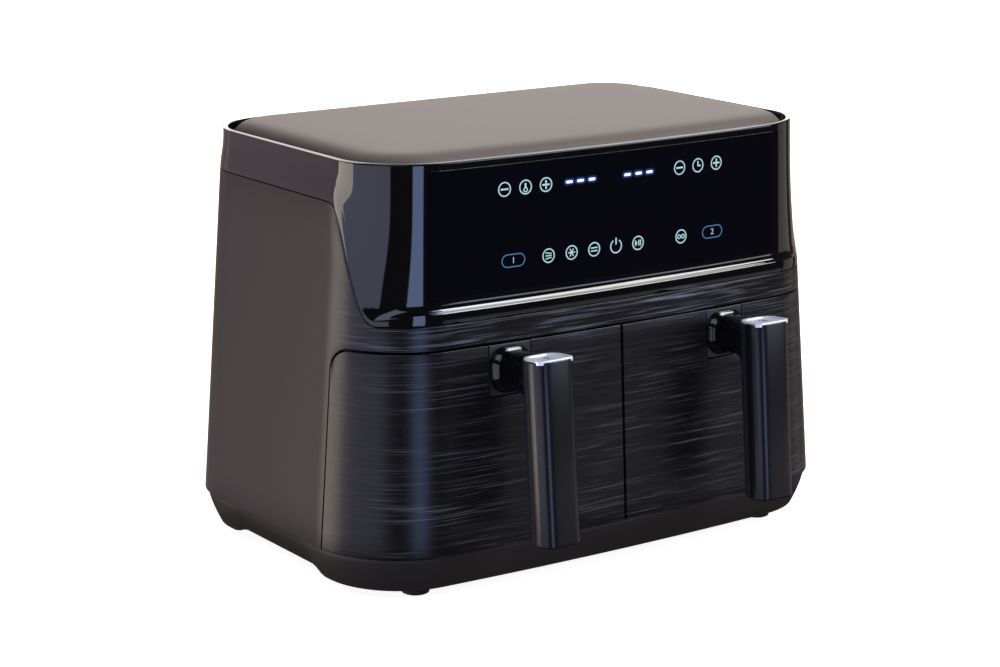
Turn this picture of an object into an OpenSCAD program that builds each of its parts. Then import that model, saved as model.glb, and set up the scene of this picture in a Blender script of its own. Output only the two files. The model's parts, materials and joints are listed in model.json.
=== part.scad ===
// Two-drawer air fryer: a tapered shell on a plinth, a gloss control housing with a
// touch panel, two drawers with upright handles, and a heater and fan over each drawer.
// Origin: floor level, under the middle of the space that it takes up, handles included.
// +Z is up and the front faces -Y. Modules are drawn about the middle of the body and
// place() moves them to the origin.
// "left" is -X, as seen by someone standing in front.

/* [Body] */
// Width of the body at the plinth seam
body_w = 390; // [330:5:470]
// Depth of the body at the plinth seam, front bow included
body_d = 258; // [210:2:320]
// Height of the rim above the floor
rim_z = 277; // [255:1:330]
// Height of the seam between plinth and shell
seam_z = 30.5; // [26:0.5:34]
// How much each side leans in from seam to rim
side_lean = 18.6; // [8:0.2:22]
// How much front and rear lean in from seam to rim
end_lean = 13.3; // [6:0.1:18]
// Plan corner radius at the seam
corner_r = 61; // [50:1:70]
// Plan corner radius at the rim
corner_r_top = 46.5; // [40:0.5:55]
// How far the middle of the front stands ahead of its corners
front_bow = 8; // [2:0.5:12]
// Wall of the outer mouldings
wall = 2.5; // [2:0.1:3.2]

/* [Plinth] */
// Height of the plinth skirt above the floor
skirt_z = 7; // [5:0.5:9]
// How far the skirt is tucked in under the shell
skirt_tuck = 12; // [8:0.5:15]
// Height of the finger recess above the skirt edge
grip_recess = 4.5; // [2:0.5:6]
// Underside of the plinth floor
floor_z = 13; // [11:0.5:15]
// Foot radius
foot_r = 9; // [7:0.5:12]
// Foot centres, distance from the middle across
foot_x = 141; // [110:1:150]
// Foot centres, distance from the middle front and back
foot_y = 94; // [70:1:98]

/* [Control housing] */
// Lower edge of the housing across the front
housing_front_z = 177; // [172:1:190]
// Lower edge of the housing along the sides and the rear
housing_side_z = 250; // [238:1:252]
// Flush lip below the ledge
ledge_lip = 7.5; // [5:0.5:9]
// Height of the fillet in the ledge
ledge_h = 4.2; // [3:0.1:5]
// Least depth of the ledge, at the rim
ledge_min = 0.8; // [0.5:0.1:1.5]
// Added ledge depth for each millimetre below the rim
ledge_rate = 0.04; // [0.02:0.005:0.05]
// Half width of the touch panel
panel_half_w = 140; // [100:1:146]
// Thickness of the touch panel
panel_t = 1.4; // [1:0.1:1.6]
// Margin between the touch panel and the rim or the ledge
panel_margin = 3; // [2:0.5:6]
// Width of the rim seen from above
rim_w = 3; // [2:0.5:4]
// Gap between rim and top cover
rim_groove = 4; // [2:0.5:6]
// Height of the top cover's crown above the rim
crown_h = 3.8; // [2:0.2:6]

/* [Drawers] */
// Height of the drawer fronts' top edge
drawer_top_z = 160.4; // [155:0.2:166]
// Gap between the two drawers, and around them
drawer_gap = 1.6; // [1:0.1:2.4]
// Drawer front wall
front_wall = 3; // [2.4:0.1:3.6]
// Angle of the corner that stays with the side shell
wrap_angle = 8; // [4:1:14]
// Radius of the drawer front's upper rear corner
drawer_corner_r = 15; // [8:1:18]
// Width between the two cavity openings
divider_w = 11.4; // [10:0.2:14]

/* [Pan and plate] */
// Height of the pan
pan_h = 112; // [90:1:113]
// Sheet of the pan
pan_t = 1.5; // [1:0.1:2]
// Vertical corner radius of the pan
pan_r = 18; // [12:1:24]
// Gap from the pan to the cavity wall
pan_gap = 3; // [2:0.2:4]
// Running clearance between pan and runners
slide_gap = 0.4; // [0.3:0.1:0.6]
// Height of the crisper plate above the pan floor
plate_lift_h = 9; // [7:0.5:14]
// Crisper plate thickness
plate_t = 2; // [1.5:0.1:3]
// Gap around the crisper plate
plate_gap = 2.2; // [1.6:0.1:3]
// Hole in the crisper plate
plate_hole_r = 3; // [2:0.1:4]
// Spacing of the crisper plate's holes
plate_pitch = 15; // [12:1:20]

/* [Handle] */
// Width of the grip
grip_w = 29; // [24:0.5:32]
// Depth of the grip
grip_d = 25; // [20:0.5:28]
// Height of the grip's lower end
grip_bottom_z = 42; // [36:1:60]
// Height of the grip's top
grip_top_z = 160; // [150:1:166]
// Distance from the drawer front to the middle of the grip, at the top
grip_reach = 39.5; // [34:0.5:46]
// How much further out the lower end stands
grip_splay = 10; // [0:0.5:12]
// Share of the grip's depth taken by the rear core
core_share = 0.45; // [0.35:0.01:0.55]
// Thickness of the cap on the grip
cap_h = 3; // [2:0.5:5]
// Neck width
neck_w = 28; // [22:0.5:30]
// Neck height
neck_h = 27; // [22:0.5:30]
// Height of the neck's centre
neck_z = 144; // [135:1:145]
// Root flange beyond the neck on each side
flange_rim = 1.4; // [1:0.1:2]
// Half width of the mounting plate behind the neck
plate_half_w = 15.2; // [14.8:0.1:17]

/* [Cavity] */
// Height of the liner floor's underside
cavity_z = 34; // [32:0.5:38]
// Height of the cavity ceiling
ceiling_z = 184; // [176:1:190]
// Sheet of the cavity liner
liner_t = 1.2; // [0.8:0.1:1.6]
// Set-back of the front frame from the drawer front's middle
frame_setback = 34; // [31:0.5:38]
// Thickness of the front frame
frame_t = 3; // [2:0.5:4]
// Frame rail outside each opening
frame_rail = 5.5; // [4:0.5:7]
// Air gap behind the liners
rear_gap = 12; // [8:1:18]
// Height of the runners under the pans
runner_h = 2.4; // [1.6:0.2:3]

/* [Heater and fan] */
// Radius of the reflector dish
reflector_r = 62; // [52:1:70]
// Height of the reflector dish
reflector_h = 20; // [18:1:22]
// Heating tube radius
tube_r = 3.2; // [2.5:0.1:4]
// Gap between the hot fan and the heater's terminals
fan_edge_gap = 3; // [2:0.5:8]
// Height of the hot fan's blades
fan_h = 11; // [8:0.5:12]
// Shaft radius
shaft_r = 4; // [3:0.1:5]
// Motor radius
motor_r = 28; // [22:1:32]
// Motor height
motor_h = 34; // [26:1:36]
// Cooling fan radius
cooler_r = 42; // [34:1:44]
// Height of the cooling fan's blades
cooler_h = 9; // [6:0.5:10]

/* [Fits] */
// Clearance between separate mouldings
fit = 0.4; // [0.3:0.05:0.6]
// Adhesive layer behind the touch panel
glue_t = 0.3; // [0.2:0.05:0.5]
// Radial clearance of a turning shaft
shaft_clear = 0.35; // [0.3:0.05:0.6]

/* [Hidden] */
$fn = 48;

// ---- Outline of the tapered body ----
// Fraction of the way from seam to rim.
function rise(z) = (z - seam_z) / (rim_z - seam_z);
function half_w(z) = body_w / 2 - side_lean * rise(z);
function half_d(z) = body_d / 2 - end_lean * rise(z);
function plan_r(z) = corner_r + (corner_r_top - corner_r) * rise(z);
function clamp01(v) = min(1, max(0, v));

// A station is [across, along, angle]: a point of the plan outline, set out from the
// corner centres so that the same station can be found at any height and inset.
function spot(st, z, inset = 0) =
    let (
        r = plan_r(z),
        x = st[0] * (half_w(z) - r) + (r - inset) * cos(st[2]),
        y = st[1] * (half_d(z) - r) + (r - inset) * sin(st[2]),
        bow = front_bow * pow(x / half_w(z), 2) * clamp01(-y / (half_d(z) - r))
    )
    [x, y + bow, z];
function steps(from, to, count) = [for (i = [0:count]) from + (to - from) * i / count];

// Stations of the right half, from the middle of the front to the middle of the rear.
front_stations = [for (across = steps(0.006, 1, 6)) [across, -1, -90]];
corner_stations = [for (a = concat(steps(84, 40, 7), steps(37.6, wrap_angle + 0.5, 12))) [1, -1, -a]];
flank_stations = [for (a = steps(wrap_angle - 0.5, 0, 2)) [1, -1, -a]];
side_stations = [for (along = [-0.92, -0.84, -0.76, -0.68, -0.5, 0, 0.6]) [1, along, 0]];
rear_stations = concat(
    [for (a = steps(0, 90, 12)) [1, 1, a]],
    [for (across = [0.66, 0.33]) [across, 1, 90]]
);
right_stations = concat(front_stations, corner_stations, flank_stations, side_stations, rear_stations);
function mirrored(stations) =
    [for (i = [len(stations) - 1:-1:0]) [-stations[i][0], stations[i][1], 180 - stations[i][2]]];
all_stations = concat(right_stations, [[0, 1, 90]], mirrored(right_stations));
// The shell's wrap stops at the edges of the rear panel.
rear_join = 0.97;
wrap_stations = [for (st = right_stations) if (!(st[2] == 90 && st[0] < 1)) st];

// Closed surface through rings of points; a loop joins the last ring to the first.
module skin(rings, loop = false) {
    n = len(rings[0]);
    m = len(rings);
    sides = [
        for (i = [0:m - (loop ? 1 : 2)], j = [0:n - 1])
            let (k = (j + 1) % n, up = ((i + 1) % m) * n, here = i * n)
            each [[here + j, up + j, up + k], [here + j, up + k, here + k]]
    ];
    caps = loop ? [] : [[for (j = [0:n - 1]) j], [for (j = [n - 1:-1:0]) (m - 1) * n + j]];
    polyhedron(points = [for (ring = rings) each ring], faces = concat(sides, caps));
}
module left() mirror([1, 0, 0]) children();

// ---- Edges that several mouldings share ----
function soft_max(a, b, k) = max(a, b) + pow(max(k - abs(a - b), 0), 2) / (4 * k);
function soft_min(a, b, k) = min(a, b) - pow(max(k - abs(a - b), 0), 2) / (4 * k);
// The housing's lower edge climbs from the front to the sides along a slope on each flank.
edge_slope = 3.1;
edge_start_y = -half_d(housing_front_z) + 31;
edge_mid_z = (housing_front_z + housing_side_z) / 2;
function housing_edge(st) =
    let (climb = housing_front_z + edge_slope * (spot(st, edge_mid_z)[1] - edge_start_y))
    soft_min(housing_side_z, soft_max(housing_front_z, climb, 18), 28);
// Upper edge of the drawer front, rounded down towards its rear end.
function drawer_edge(st) =
    let (
        past = max(0, -st[2] - wrap_angle) * PI / 180 * plan_r(drawer_top_z),
        drop = drawer_corner_r - sqrt(pow(drawer_corner_r, 2) - pow(max(drawer_corner_r - past, 0), 2))
    )
    drawer_top_z - (st[1] == -1 && st[2] > -90 ? drop : 0);
function in_drawer(st) = st[1] == -1 && min(-st[2], st[2] + 180) > -1 && abs(st[2] + 90) < 90 - wrap_angle;
// Right-half twin of a station, so that edges can be worked out once.
function twin(st) = st[0] < 0 || st[2] > 90 ? [-st[0], st[1], 180 - st[2]] : st;
function ledge_inset(z) = ledge_min + ledge_rate * (rim_z - z);

// ---- Where the insides stand ----
frame_y = -half_d(drawer_top_z) + frame_setback;
// Width of the body at the frame, found on the corner arc at the drawers' top edge.
frame_edge_r = plan_r(drawer_top_z) - front_wall - 1;
frame_edge_y = -frame_y - (half_d(drawer_top_z) - plan_r(drawer_top_z)) + front_bow;
frame_half_w = half_w(drawer_top_z) - plan_r(drawer_top_z)
    + sqrt(pow(frame_edge_r, 2) - pow(frame_edge_y, 2));
opening_x0 = divider_w / 2;
opening_x1 = frame_half_w - frame_rail;
opening_z0 = cavity_z + liner_t;
opening_z1 = drawer_top_z - 5;
drawer_cx = (opening_x0 + opening_x1) / 2;
liner_y0 = frame_y + frame_t;
liner_y1 = half_d(ceiling_z) - wall - rear_gap;
pan_x0 = opening_x0 + pan_gap;
pan_w = opening_x1 - opening_x0 - 2 * pan_gap;
pan_z0 = opening_z0 + runner_h + slide_gap;
backing_y1 = frame_y - 1;
backing_t = 3;
pan_y0 = backing_y1;
pan_y1 = liner_y1 - liner_t - 5;
pan_floor_z = pan_z0 + pan_t;
fan_y = (liner_y0 + liner_y1) / 2;
deck_z = ceiling_z + reflector_h + 3;
deck_t = 1.5;
motor_z = deck_z + deck_t;
hot_fan_z = ceiling_z + 3;
cooler_z = motor_z + motor_h + 2.5;
board_y = -half_d(housing_front_z) + ledge_inset(housing_front_z) + wall + front_bow + 2;
board_z0 = deck_z + deck_t + 1;
board_z1 = rim_z - 16;
board_half_w = min(panel_half_w - 20, half_w(rim_z) - corner_r_top - 12);
board_t = 1.6;
panel_z0 = housing_front_z + ledge_lip + ledge_h + panel_margin;
panel_z1 = rim_z - panel_margin - 2;
panel_mid_z = (panel_z0 + panel_z1) / 2;
screw_r = 2;
screw_head_r = 4;
screw_head_h = 2.2;

// ---- Outer mouldings ----
tray_post_r = 5;
tray_post_dx = 50;
tray_post_edge = 25;
module base_tray() {
    function recess(st) = abs(st[1]) < 0.75 && abs(st[0]) == 1 ? grip_recess : 0;
    levels = [
        [skirt_tuck + 5, floor_z, 0], [skirt_tuck + 2, skirt_z, 1], [skirt_tuck, skirt_z, 1],
        [skirt_tuck - 3.5, skirt_z + 6, 0], [skirt_tuck - 7, skirt_z + 14, 0], [2, seam_z - fit, 0],
        [2 + wall, seam_z - fit, 0], [skirt_tuck - 4.5, skirt_z + 14, 0],
        [skirt_tuck + 4, floor_z + wall, 0]
    ];
    color("#2a2522")
    difference() {
        skin([for (lv = levels) [for (st = all_stations)
            spot(st, lv[1] + (lv[2] == 1 ? recess(st) : 0), lv[0])]]);
        for (sx = [-1, 1], sy = [-1, 1])
            translate([sx * foot_x, sy * foot_y, floor_z - 1])
                cylinder(r = screw_r + fit, h = wall + 2);
    }
    // Posts that carry the liners.
    color("#2a2522")
    for (x = [drawer_cx - tray_post_dx, drawer_cx + tray_post_dx], sx = [-1, 1])
        for (y = [liner_y0 + tray_post_edge, liner_y1 - tray_post_edge])
            translate([sx * x, y, floor_z + wall]) cylinder(r = tray_post_r, h = cavity_z - floor_z - wall);
}

module rubber_feet()
    color("#151515")
    for (sx = [-1, 1], sy = [-1, 1])
        translate([sx * foot_x, sy * foot_y, 0])
            rotate_extrude()
                polygon([[0, 0], [foot_r - 1, 0], [foot_r, 1], [foot_r, floor_z], [0, floor_z]]);

grille_w = 78;
grille_h = 40;
grille_z = housing_side_z - 32;
grille_border = 3;
louvre_t = 2;
louvre_pitch = 5.6;
inlet_r = 8;
inlet_z = seam_z + 18;
inlet_x = rear_join * (half_w(inlet_z) - plan_r(inlet_z)) - inlet_r - 4;
inlet_flange = 2.5;
inlet_step = 2;
cord_bore_r = 3.4;
rear_tilt = atan(end_lean / (rim_z - seam_z));
// Places children on the leaning rear wall, with +Z out of it and +Y down it.
module on_rear(x, z) translate([x, half_d(z), z]) rotate([rear_tilt - 90, 0, 0]) children();

module side_shell() {
    function low(st) = in_drawer(twin(st)) ? drawer_edge(twin(st)) + drawer_gap / 2 : seam_z;
    half = concat(wrap_stations, [[rear_join, 1, 90]]);
    color("#3d3633")
    skin([for (st = concat(mirrored(half), half))
        let (z0 = low(st), z1 = housing_edge(st) - fit)
        [spot(st, z0), spot(st, z1), spot(st, z1, wall), spot(st, z0, wall)]]);
}

module rear_panel() {
    z1 = housing_side_z - fit;
    function edge(z) = rear_join * (half_w(z) - plan_r(z)) - fit / 2;
    slant = 1 / cos(rear_tilt);
    color("#39332f")
    on_rear(0, seam_z)
        translate([0, 0, -wall])
            linear_extrude(wall)
                difference() {
                    polygon([[-edge(seam_z), 0], [edge(seam_z), 0],
                        [edge(z1), (seam_z - z1) * slant], [-edge(z1), (seam_z - z1) * slant]]);
                    for (x = [-drawer_cx, drawer_cx])
                        translate([x, (seam_z - grille_z) * slant])
                            square([grille_w + 2 * fit, grille_h + 2 * fit], center = true);
                    translate([inlet_x, (seam_z - inlet_z) * slant]) circle(inlet_r - inlet_step);
                }
}

module rear_grilles()
    color("#1c1b1d")
    for (x = [-drawer_cx, drawer_cx])
        on_rear(x, grille_z) {
            translate([0, 0, -wall])
                difference() {
                    translate([-grille_w / 2, -grille_h / 2, 0]) cube([grille_w, grille_h, wall]);
                    translate([grille_border - grille_w / 2, grille_border - grille_h / 2, -1])
                        cube([grille_w - 2 * grille_border, grille_h - 2 * grille_border, wall + 2]);
                }
            for (y = [2 * grille_border - grille_h / 2:louvre_pitch:grille_h / 2 - grille_border - louvre_t])
                translate([grille_border - 0.5 - grille_w / 2, y - louvre_t / 2, -wall])
                    cube([grille_w - 2 * grille_border + 1, louvre_t, wall]);
        }

module cable_inlet()
    color("#161616")
    on_rear(inlet_x, inlet_z)
        difference() {
            union() {
                cylinder(r = inlet_r, h = inlet_flange);
                translate([0, 0, -wall - inlet_step]) cylinder(r = inlet_r - inlet_step - 0.1, h = wall + 3);
            }
            translate([0, 0, -wall - 3]) cylinder(r = cord_bore_r, h = 12);
        }

module front_frame() {
    shell_x = half_w(drawer_top_z) - wall - fit - 1;
    lip_y = spot([1, -1, -wrap_angle], drawer_top_z)[1] + 3;
    top_z = housing_front_z - fit;
    color("#1b1a1c")
    difference() {
        translate([0, 0, seam_z])
            linear_extrude(top_z - seam_z)
                polygon([
                    [-frame_half_w, frame_y], [frame_half_w, frame_y], [shell_x - 1, lip_y], [shell_x, lip_y],
                    [shell_x, lip_y + 3], [shell_x - 3, lip_y + 3], [frame_half_w - 2.6, frame_y + frame_t],
                    [2.6 - frame_half_w, frame_y + frame_t], [3 - shell_x, lip_y + 3],
                    [-shell_x, lip_y + 3], [-shell_x, lip_y], [1 - shell_x, lip_y]
                ]);
        for (sx = [0, 1])
            mirror([sx, 0, 0]) {
                translate([opening_x0, frame_y - 1, opening_z0])
                    cube([opening_x1 - opening_x0, frame_t + 2, opening_z1 - opening_z0]);
                translate([plunger_x, frame_y - 1, plunger_z])
                    rotate([-90, 0, 0]) cylinder(r = plunger_r + 0.35, h = frame_t + 2);
            }
    }
}

// Station on the front at a given distance from the middle; past the flat it is on the corner arc.
function front_station(x) =
    let (z = panel_mid_z, flat = half_w(z) - plan_r(z))
    abs(x) <= flat ? [x / flat, -1, -90]
        : [sign(x), -1, -90 + sign(x) * asin((abs(x) - flat) / (plan_r(z) - ledge_inset(z)))];
// Distance from the middle at which a station stands there; far off for stations past the corner.
function front_x(st) =
    st[1] == -1 && st[2] < -45 ? spot(st, panel_mid_z, ledge_inset(panel_mid_z))[0] : body_w;
housing_half = concat(
    [for (st = right_stations) if (front_x(st) < panel_half_w - 1) st],
    [front_station(panel_half_w + fit / 2), front_station(panel_half_w + fit)],
    [for (st = right_stations) if (front_x(st) > panel_half_w + fit + 1.5) st]
);
module control_housing() {
    in_w = ledge_inset(rim_z);
    shelf = in_w + rim_w + rim_groove + 5;
    thick = wall + 0.5;
    function recess(st) = front_x(twin(st)) < panel_half_w + fit * 0.8 ? panel_t + glue_t : 0;
    color("#0c0c0e")
    skin([for (st = concat(housing_half, [[0, 1, 90]], mirrored(housing_half)))
        let (
            e = housing_edge(st),
            foot = e + ledge_lip + ledge_h,
            d = ledge_inset(foot),
            z0 = max(panel_z0, foot + 1.5),
            r = recess(st)
        )
        [
            spot(st, e, 0), spot(st, e + ledge_lip, 0),
            spot(st, e + ledge_lip + ledge_h * 0.5, d * 0.25), spot(st, foot - 0.5, d * 0.7),
            spot(st, foot, d + 0.2), spot(st, z0 - fit, ledge_inset(z0)),
            spot(st, z0 - fit / 2, ledge_inset(z0) + r),
            spot(st, panel_z1 + fit / 2, ledge_inset(panel_z1) + r),
            spot(st, panel_z1 + fit, ledge_inset(panel_z1)),
            spot(st, rim_z - 0.8, in_w), spot(st, rim_z, in_w + 0.8),
            spot(st, rim_z, in_w + rim_w), spot(st, rim_z - 6, in_w + rim_w),
            spot(st, rim_z - 6, shelf), spot(st, rim_z - 8, shelf),
            spot(st, rim_z - 8, in_w + thick), spot(st, foot + 0.5, d + thick + 0.2),
            spot(st, e, wall)
        ]], loop = true);
}

module touch_panel() {
    half = concat(
        [for (st = right_stations) if (front_x(st) < panel_half_w - 1) st],
        [front_station(panel_half_w)]
    );
    color("#08080a")
    skin([for (st = concat(mirrored(half), [[0, -1, -90]], half))
        let (d0 = ledge_inset(panel_z0), d1 = ledge_inset(panel_z1))
        [spot(st, panel_z0, d0), spot(st, panel_z1, d1),
         spot(st, panel_z1, d1 + panel_t), spot(st, panel_z0, d0 + panel_t)]]);
}

module top_cover() {
    edge = ledge_inset(rim_z) + rim_w + rim_groove;
    levels = [
        [40, rim_z + crown_h - 3], [14, rim_z - 1.6], [edge + 2.5, rim_z - 6],
        [edge, rim_z - 6], [edge, rim_z - 0.8], [edge + 1.2, rim_z + 0.9],
        [edge + 4.5, rim_z + crown_h * 0.55], [24, rim_z + crown_h * 0.85], [40, rim_z + crown_h]
    ];
    color("#91877c")
    skin([for (lv = levels) [for (st = all_stations)
        let (p = spot(st, rim_z, lv[0])) [p[0], p[1], lv[1]]]]);
}

// ---- Drawers, modelled on the right ----
drawer_stations = [
    for (st = concat([for (across = steps(drawer_gap / 264, 1, 6)) [across, -1, -90]], corner_stations)) st
];
module drawer_front() {
    z0 = seam_z + 0.5;
    color("#232227")
    difference() {
        skin([for (st = drawer_stations)
            let (z1 = drawer_edge(st))
            [spot(st, z0), spot(st, z1), spot(st, z1, front_wall), spot(st, z0, front_wall)]]);
        translate([drawer_cx - plate_half_w - 0.2, -body_d, plate_z0 - 0.2])
            cube([2 * plate_half_w + 0.4, body_d, drawer_top_z]);
    }
}

// Tray behind the drawer front; its pillars take the handle screws.
module drawer_backing() {
    back_inset = front_wall + 6;
    z0 = cavity_z + 1;
    z1 = opening_z1 - 2;
    rim = [for (st = drawer_stations) let (p = spot(st, drawer_top_z, back_inset)) if (p[1] < backing_y1 - 5)
        [max(p[0], drawer_gap + 1), p[1]]];
    inner = [for (st = drawer_stations) let (p = spot(st, drawer_top_z, back_inset + 2.4))
        if (p[1] < backing_y1 - 6) [max(p[0], drawer_gap + 3.4), p[1]]];
    x1 = rim[len(rim) - 1][0];
    x2 = inner[len(inner) - 1][0];
    color("#1d1c1e")
    difference() {
        union() {
            difference() {
                translate([0, 0, z0]) linear_extrude(z1 - z0)
                    polygon(concat(rim, [[x1, backing_y1], [rim[0][0], backing_y1]]));
                translate([0, 0, z0 + 2.4]) linear_extrude(z1 - z0 - 4.8)
                    polygon(concat(
                        [[inner[0][0], -body_d], [x2, -body_d]], [[x2, backing_y1 - backing_t],
                        [inner[0][0], backing_y1 - backing_t]]));
            }
            for (dz = [-screw_dz, screw_dz])
                translate([drawer_cx, plate_back_y + 0.2, neck_z + dz]) rotate([-90, 0, 0])
                    cylinder(r = 5, h = backing_y1 - backing_t - plate_back_y);
        }
        for (dz = [-screw_dz, screw_dz])
            translate([drawer_cx, plate_back_y - 5, neck_z + dz]) rotate([-90, 0, 0]) {
                cylinder(r = screw_r + 0.1, h = 60);
                translate([0, 0, backing_y1 - plate_back_y + 5 - 2.5]) cylinder(r = 4.2, h = 10);
            }
    }
}
// Rounded box outline.
module plan_box(w, d, r)
    union() {
        translate([-w / 2 + r, -d / 2]) square([w - 2 * r, d]);
        translate([-w / 2, -d / 2 + r]) square([w, d - 2 * r]);
        for (sx = [-1, 1], sy = [-1, 1]) translate([sx * (w / 2 - r), sy * (d / 2 - r)]) circle(r);
    }

module pan() {
    l = pan_y1 - pan_y0;
    color("#2f2f31")
    translate([drawer_cx, (pan_y0 + pan_y1) / 2, pan_z0])
        difference() {
            linear_extrude(pan_h) plan_box(pan_w, l, pan_r);
            translate([0, 0, pan_t]) linear_extrude(pan_h)
                plan_box(pan_w - 2 * pan_t, l - 2 * pan_t, pan_r - pan_t);
        }
}

plate_y = (pan_y0 + pan_y1) / 2;
plate_l = pan_y1 - pan_y0 - 2 * pan_t - 2 * plate_gap;
plate_w = pan_w - 2 * pan_t - 2 * plate_gap;
plate_z = pan_floor_z + plate_lift_h;
plate_r = pan_r - pan_t - plate_gap;
module crisper_plate() {
    cols = floor((plate_w - 30) / plate_pitch / 2);
    rows = floor((plate_l - 30) / plate_pitch / 2);
    color("#333335")
    translate([drawer_cx, plate_y, plate_z])
        linear_extrude(plate_t)
            difference() {
                plan_box(plate_w, plate_l, plate_r);
                for (i = [-cols:cols], j = [-rows:rows])
                    translate([i * plate_pitch, j * plate_pitch]) circle(plate_hole_r);
            }
}
// Soft bumpers that the plate stands on, near its corners.
module plate_feet()
    color("#7a2f2a")
    for (sx = [-1, 1], sy = [-1, 1])
        translate([drawer_cx + sx * (plate_w / 2 - 14), plate_y + sy * (plate_l / 2 - 14), pan_floor_z + 0.3])
            cylinder(r = 5, h = plate_lift_h - 0.3);

// ---- Handle, modelled on the right ----
front_tilt = atan(end_lean / (rim_z - seam_z));
function front_y(z) = -half_d(z) + front_bow * pow(drawer_cx / half_w(z), 2);
handle_plate_t = front_wall + 1.4;
plate_z0 = neck_z - neck_h / 2 - 2.5;
plate_z1 = drawer_top_z;
plate_back_y = front_y(neck_z) + handle_plate_t + 0.4;
screw_dz = 7;
grip_len = grip_top_z - grip_bottom_z;
grip_tilt = atan(grip_splay / grip_len);
grip_top_y = front_y(grip_top_z) - grip_reach;
module on_front(z) translate([drawer_cx, front_y(z), z]) rotate([-front_tilt, 0, 0]) children();
// Local frame of the grip: origin in the middle of its lower end, Z along it.
module on_grip()
    translate([drawer_cx, grip_top_y - grip_splay, grip_bottom_z]) rotate([-grip_tilt, 0, 0]) children();
module screw_bores()
    for (dz = [-screw_dz, screw_dz])
        translate([drawer_cx, front_y(neck_z) - 14, neck_z + dz]) rotate([-90, 0, 0])
            cylinder(r = screw_r, h = 14 - front_y(neck_z) + backing_y1);

module handle_plate()
    color("#101013")
    difference() {
        translate([drawer_cx - plate_half_w, plate_back_y - handle_plate_t - 6, plate_z0])
            cube([2 * plate_half_w, handle_plate_t + 6, plate_z1 - plate_z0 - 0.3]);
        on_front(neck_z) translate([-50, -100.4, -60]) cube([100, 100, 120]);
        screw_bores();
    }

module neck_shape(grow) plan_box(neck_w + 2 * grow, neck_h + 2 * grow, 7);
module handle_neck()
    color("#0e0e10")
    difference() {
        on_front(neck_z) {
            translate([0, -0.4, 0]) rotate([90, 0, 0]) linear_extrude(grip_reach - 6) neck_shape(0);
            translate([0, -0.4, 0]) rotate([90, 0, 0]) linear_extrude(2) neck_shape(flange_rim);
        }
        on_grip() translate([0, 0, -20]) linear_extrude(grip_len + 60) grip_section(grip_w, grip_d);
        screw_bores();
    }

// Grip section: a rounded box with tight corners on the hand's side and full ones behind.
module grip_section(w, d, front_r = 4, rear_r = 10) {
    intersection() {
        plan_box(w, d, front_r);
        translate([-w, -d]) square([2 * w, d]);
    }
    intersection() {
        plan_box(w, d, rear_r);
        translate([-w, 0]) square([2 * w, d]);
    }
}
split_y = grip_d * (0.5 - core_share);
module grip_part(from, to)
    on_grip()
        linear_extrude(grip_len - 1.2)
            intersection() {
                grip_section(grip_w, grip_d);
                translate([-grip_w, from]) square([2 * grip_w, to - from]);
            }
module cap_seat() on_grip() translate([0, 0, grip_len - cap_h]) linear_extrude(10)
    grip_section(grip_w - 3.6, grip_d - 3.6, 2.6, 8.4);
module handle_core()
    color("#0b0b0d") difference() { grip_part(split_y, grip_d); cap_seat(); }
module handle_cover()
    color("#070709") difference() { grip_part(-grip_d, split_y - 0.15); cap_seat(); }
module handle_cap()
    color("#c9c9cb")
    on_grip() translate([0, 0, grip_len - cap_h]) linear_extrude(cap_h)
        grip_section(grip_w - 4, grip_d - 4, 2.4, 8.2);

module handle_screws()
    color("#9a9a9c")
    for (dz = [-screw_dz, screw_dz])
        translate([drawer_cx, front_y(neck_z) - 14, neck_z + dz]) rotate([-90, 0, 0]) {
            cylinder(r = screw_r, h = 14 - front_y(neck_z) + backing_y1 - 2.5);
            translate([0, 0, 14 - front_y(neck_z) + backing_y1 - 2.5])
                cylinder(r = screw_head_r, h = screw_head_h);
        }

// ---- Cavities and heaters, modelled on the right ----
// Plan of a liner with square front corners and round rear ones.
module liner_plan(x0, x1, y0, y1, r)
    union() {
        translate([x0, y0]) square([x1 - x0, y1 - y0 - r]);
        translate([x0 + r, y1 - r - 1]) square([x1 - x0 - 2 * r, r + 1]);
        for (x = [x0 + r, x1 - r]) translate([x, y1 - r]) circle(r);
    }
module cavity_liner() {
    liner_r = pan_r + pan_gap;
    color("#8b8b8d")
    difference() {
        translate([0, 0, cavity_z]) linear_extrude(ceiling_z - cavity_z)
            liner_plan(opening_x0 - liner_t, opening_x1 + liner_t, liner_y0, liner_y1, liner_r);
        translate([0, 0, opening_z0]) linear_extrude(ceiling_z - opening_z0 - liner_t)
            liner_plan(opening_x0, opening_x1, liner_y0 - 1, liner_y1 - liner_t, liner_r - liner_t);
        translate([drawer_cx, fan_y, ceiling_z - 5]) cylinder(r = reflector_r - 4, h = 10);
    }
}

element_z = ceiling_z - 10;
ring_r = [reflector_r - 12, reflector_r - 26];
terminal_dx = 10;
terminal_y = sqrt(pow(ring_r[0], 2) - pow(terminal_dx, 2));
terminal_r = tube_r * 0.8;
fan_r = ring_r[0] - terminal_r - fan_edge_gap;
module heat_reflector()
    color("#a5a5a8")
    translate([drawer_cx, fan_y, ceiling_z])
        difference() {
            rotate_extrude()
                polygon([
                    [shaft_r + 3, reflector_h], [shaft_r + 3, reflector_h - 1],
                    [reflector_r - 6, reflector_h - 1],
                    [reflector_r - 1, reflector_h - 6], [reflector_r - 1, 0], [reflector_r + 5, 0],
                    [reflector_r + 5, 1], [reflector_r, 1], [reflector_r, reflector_h - 5.5],
                    [reflector_r - 5.5, reflector_h]
                ]);
            for (dx = [-terminal_dx, terminal_dx])
                translate([dx, terminal_y, reflector_h - 5]) cylinder(r = terminal_r + 1, h = 10);
        }

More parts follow.
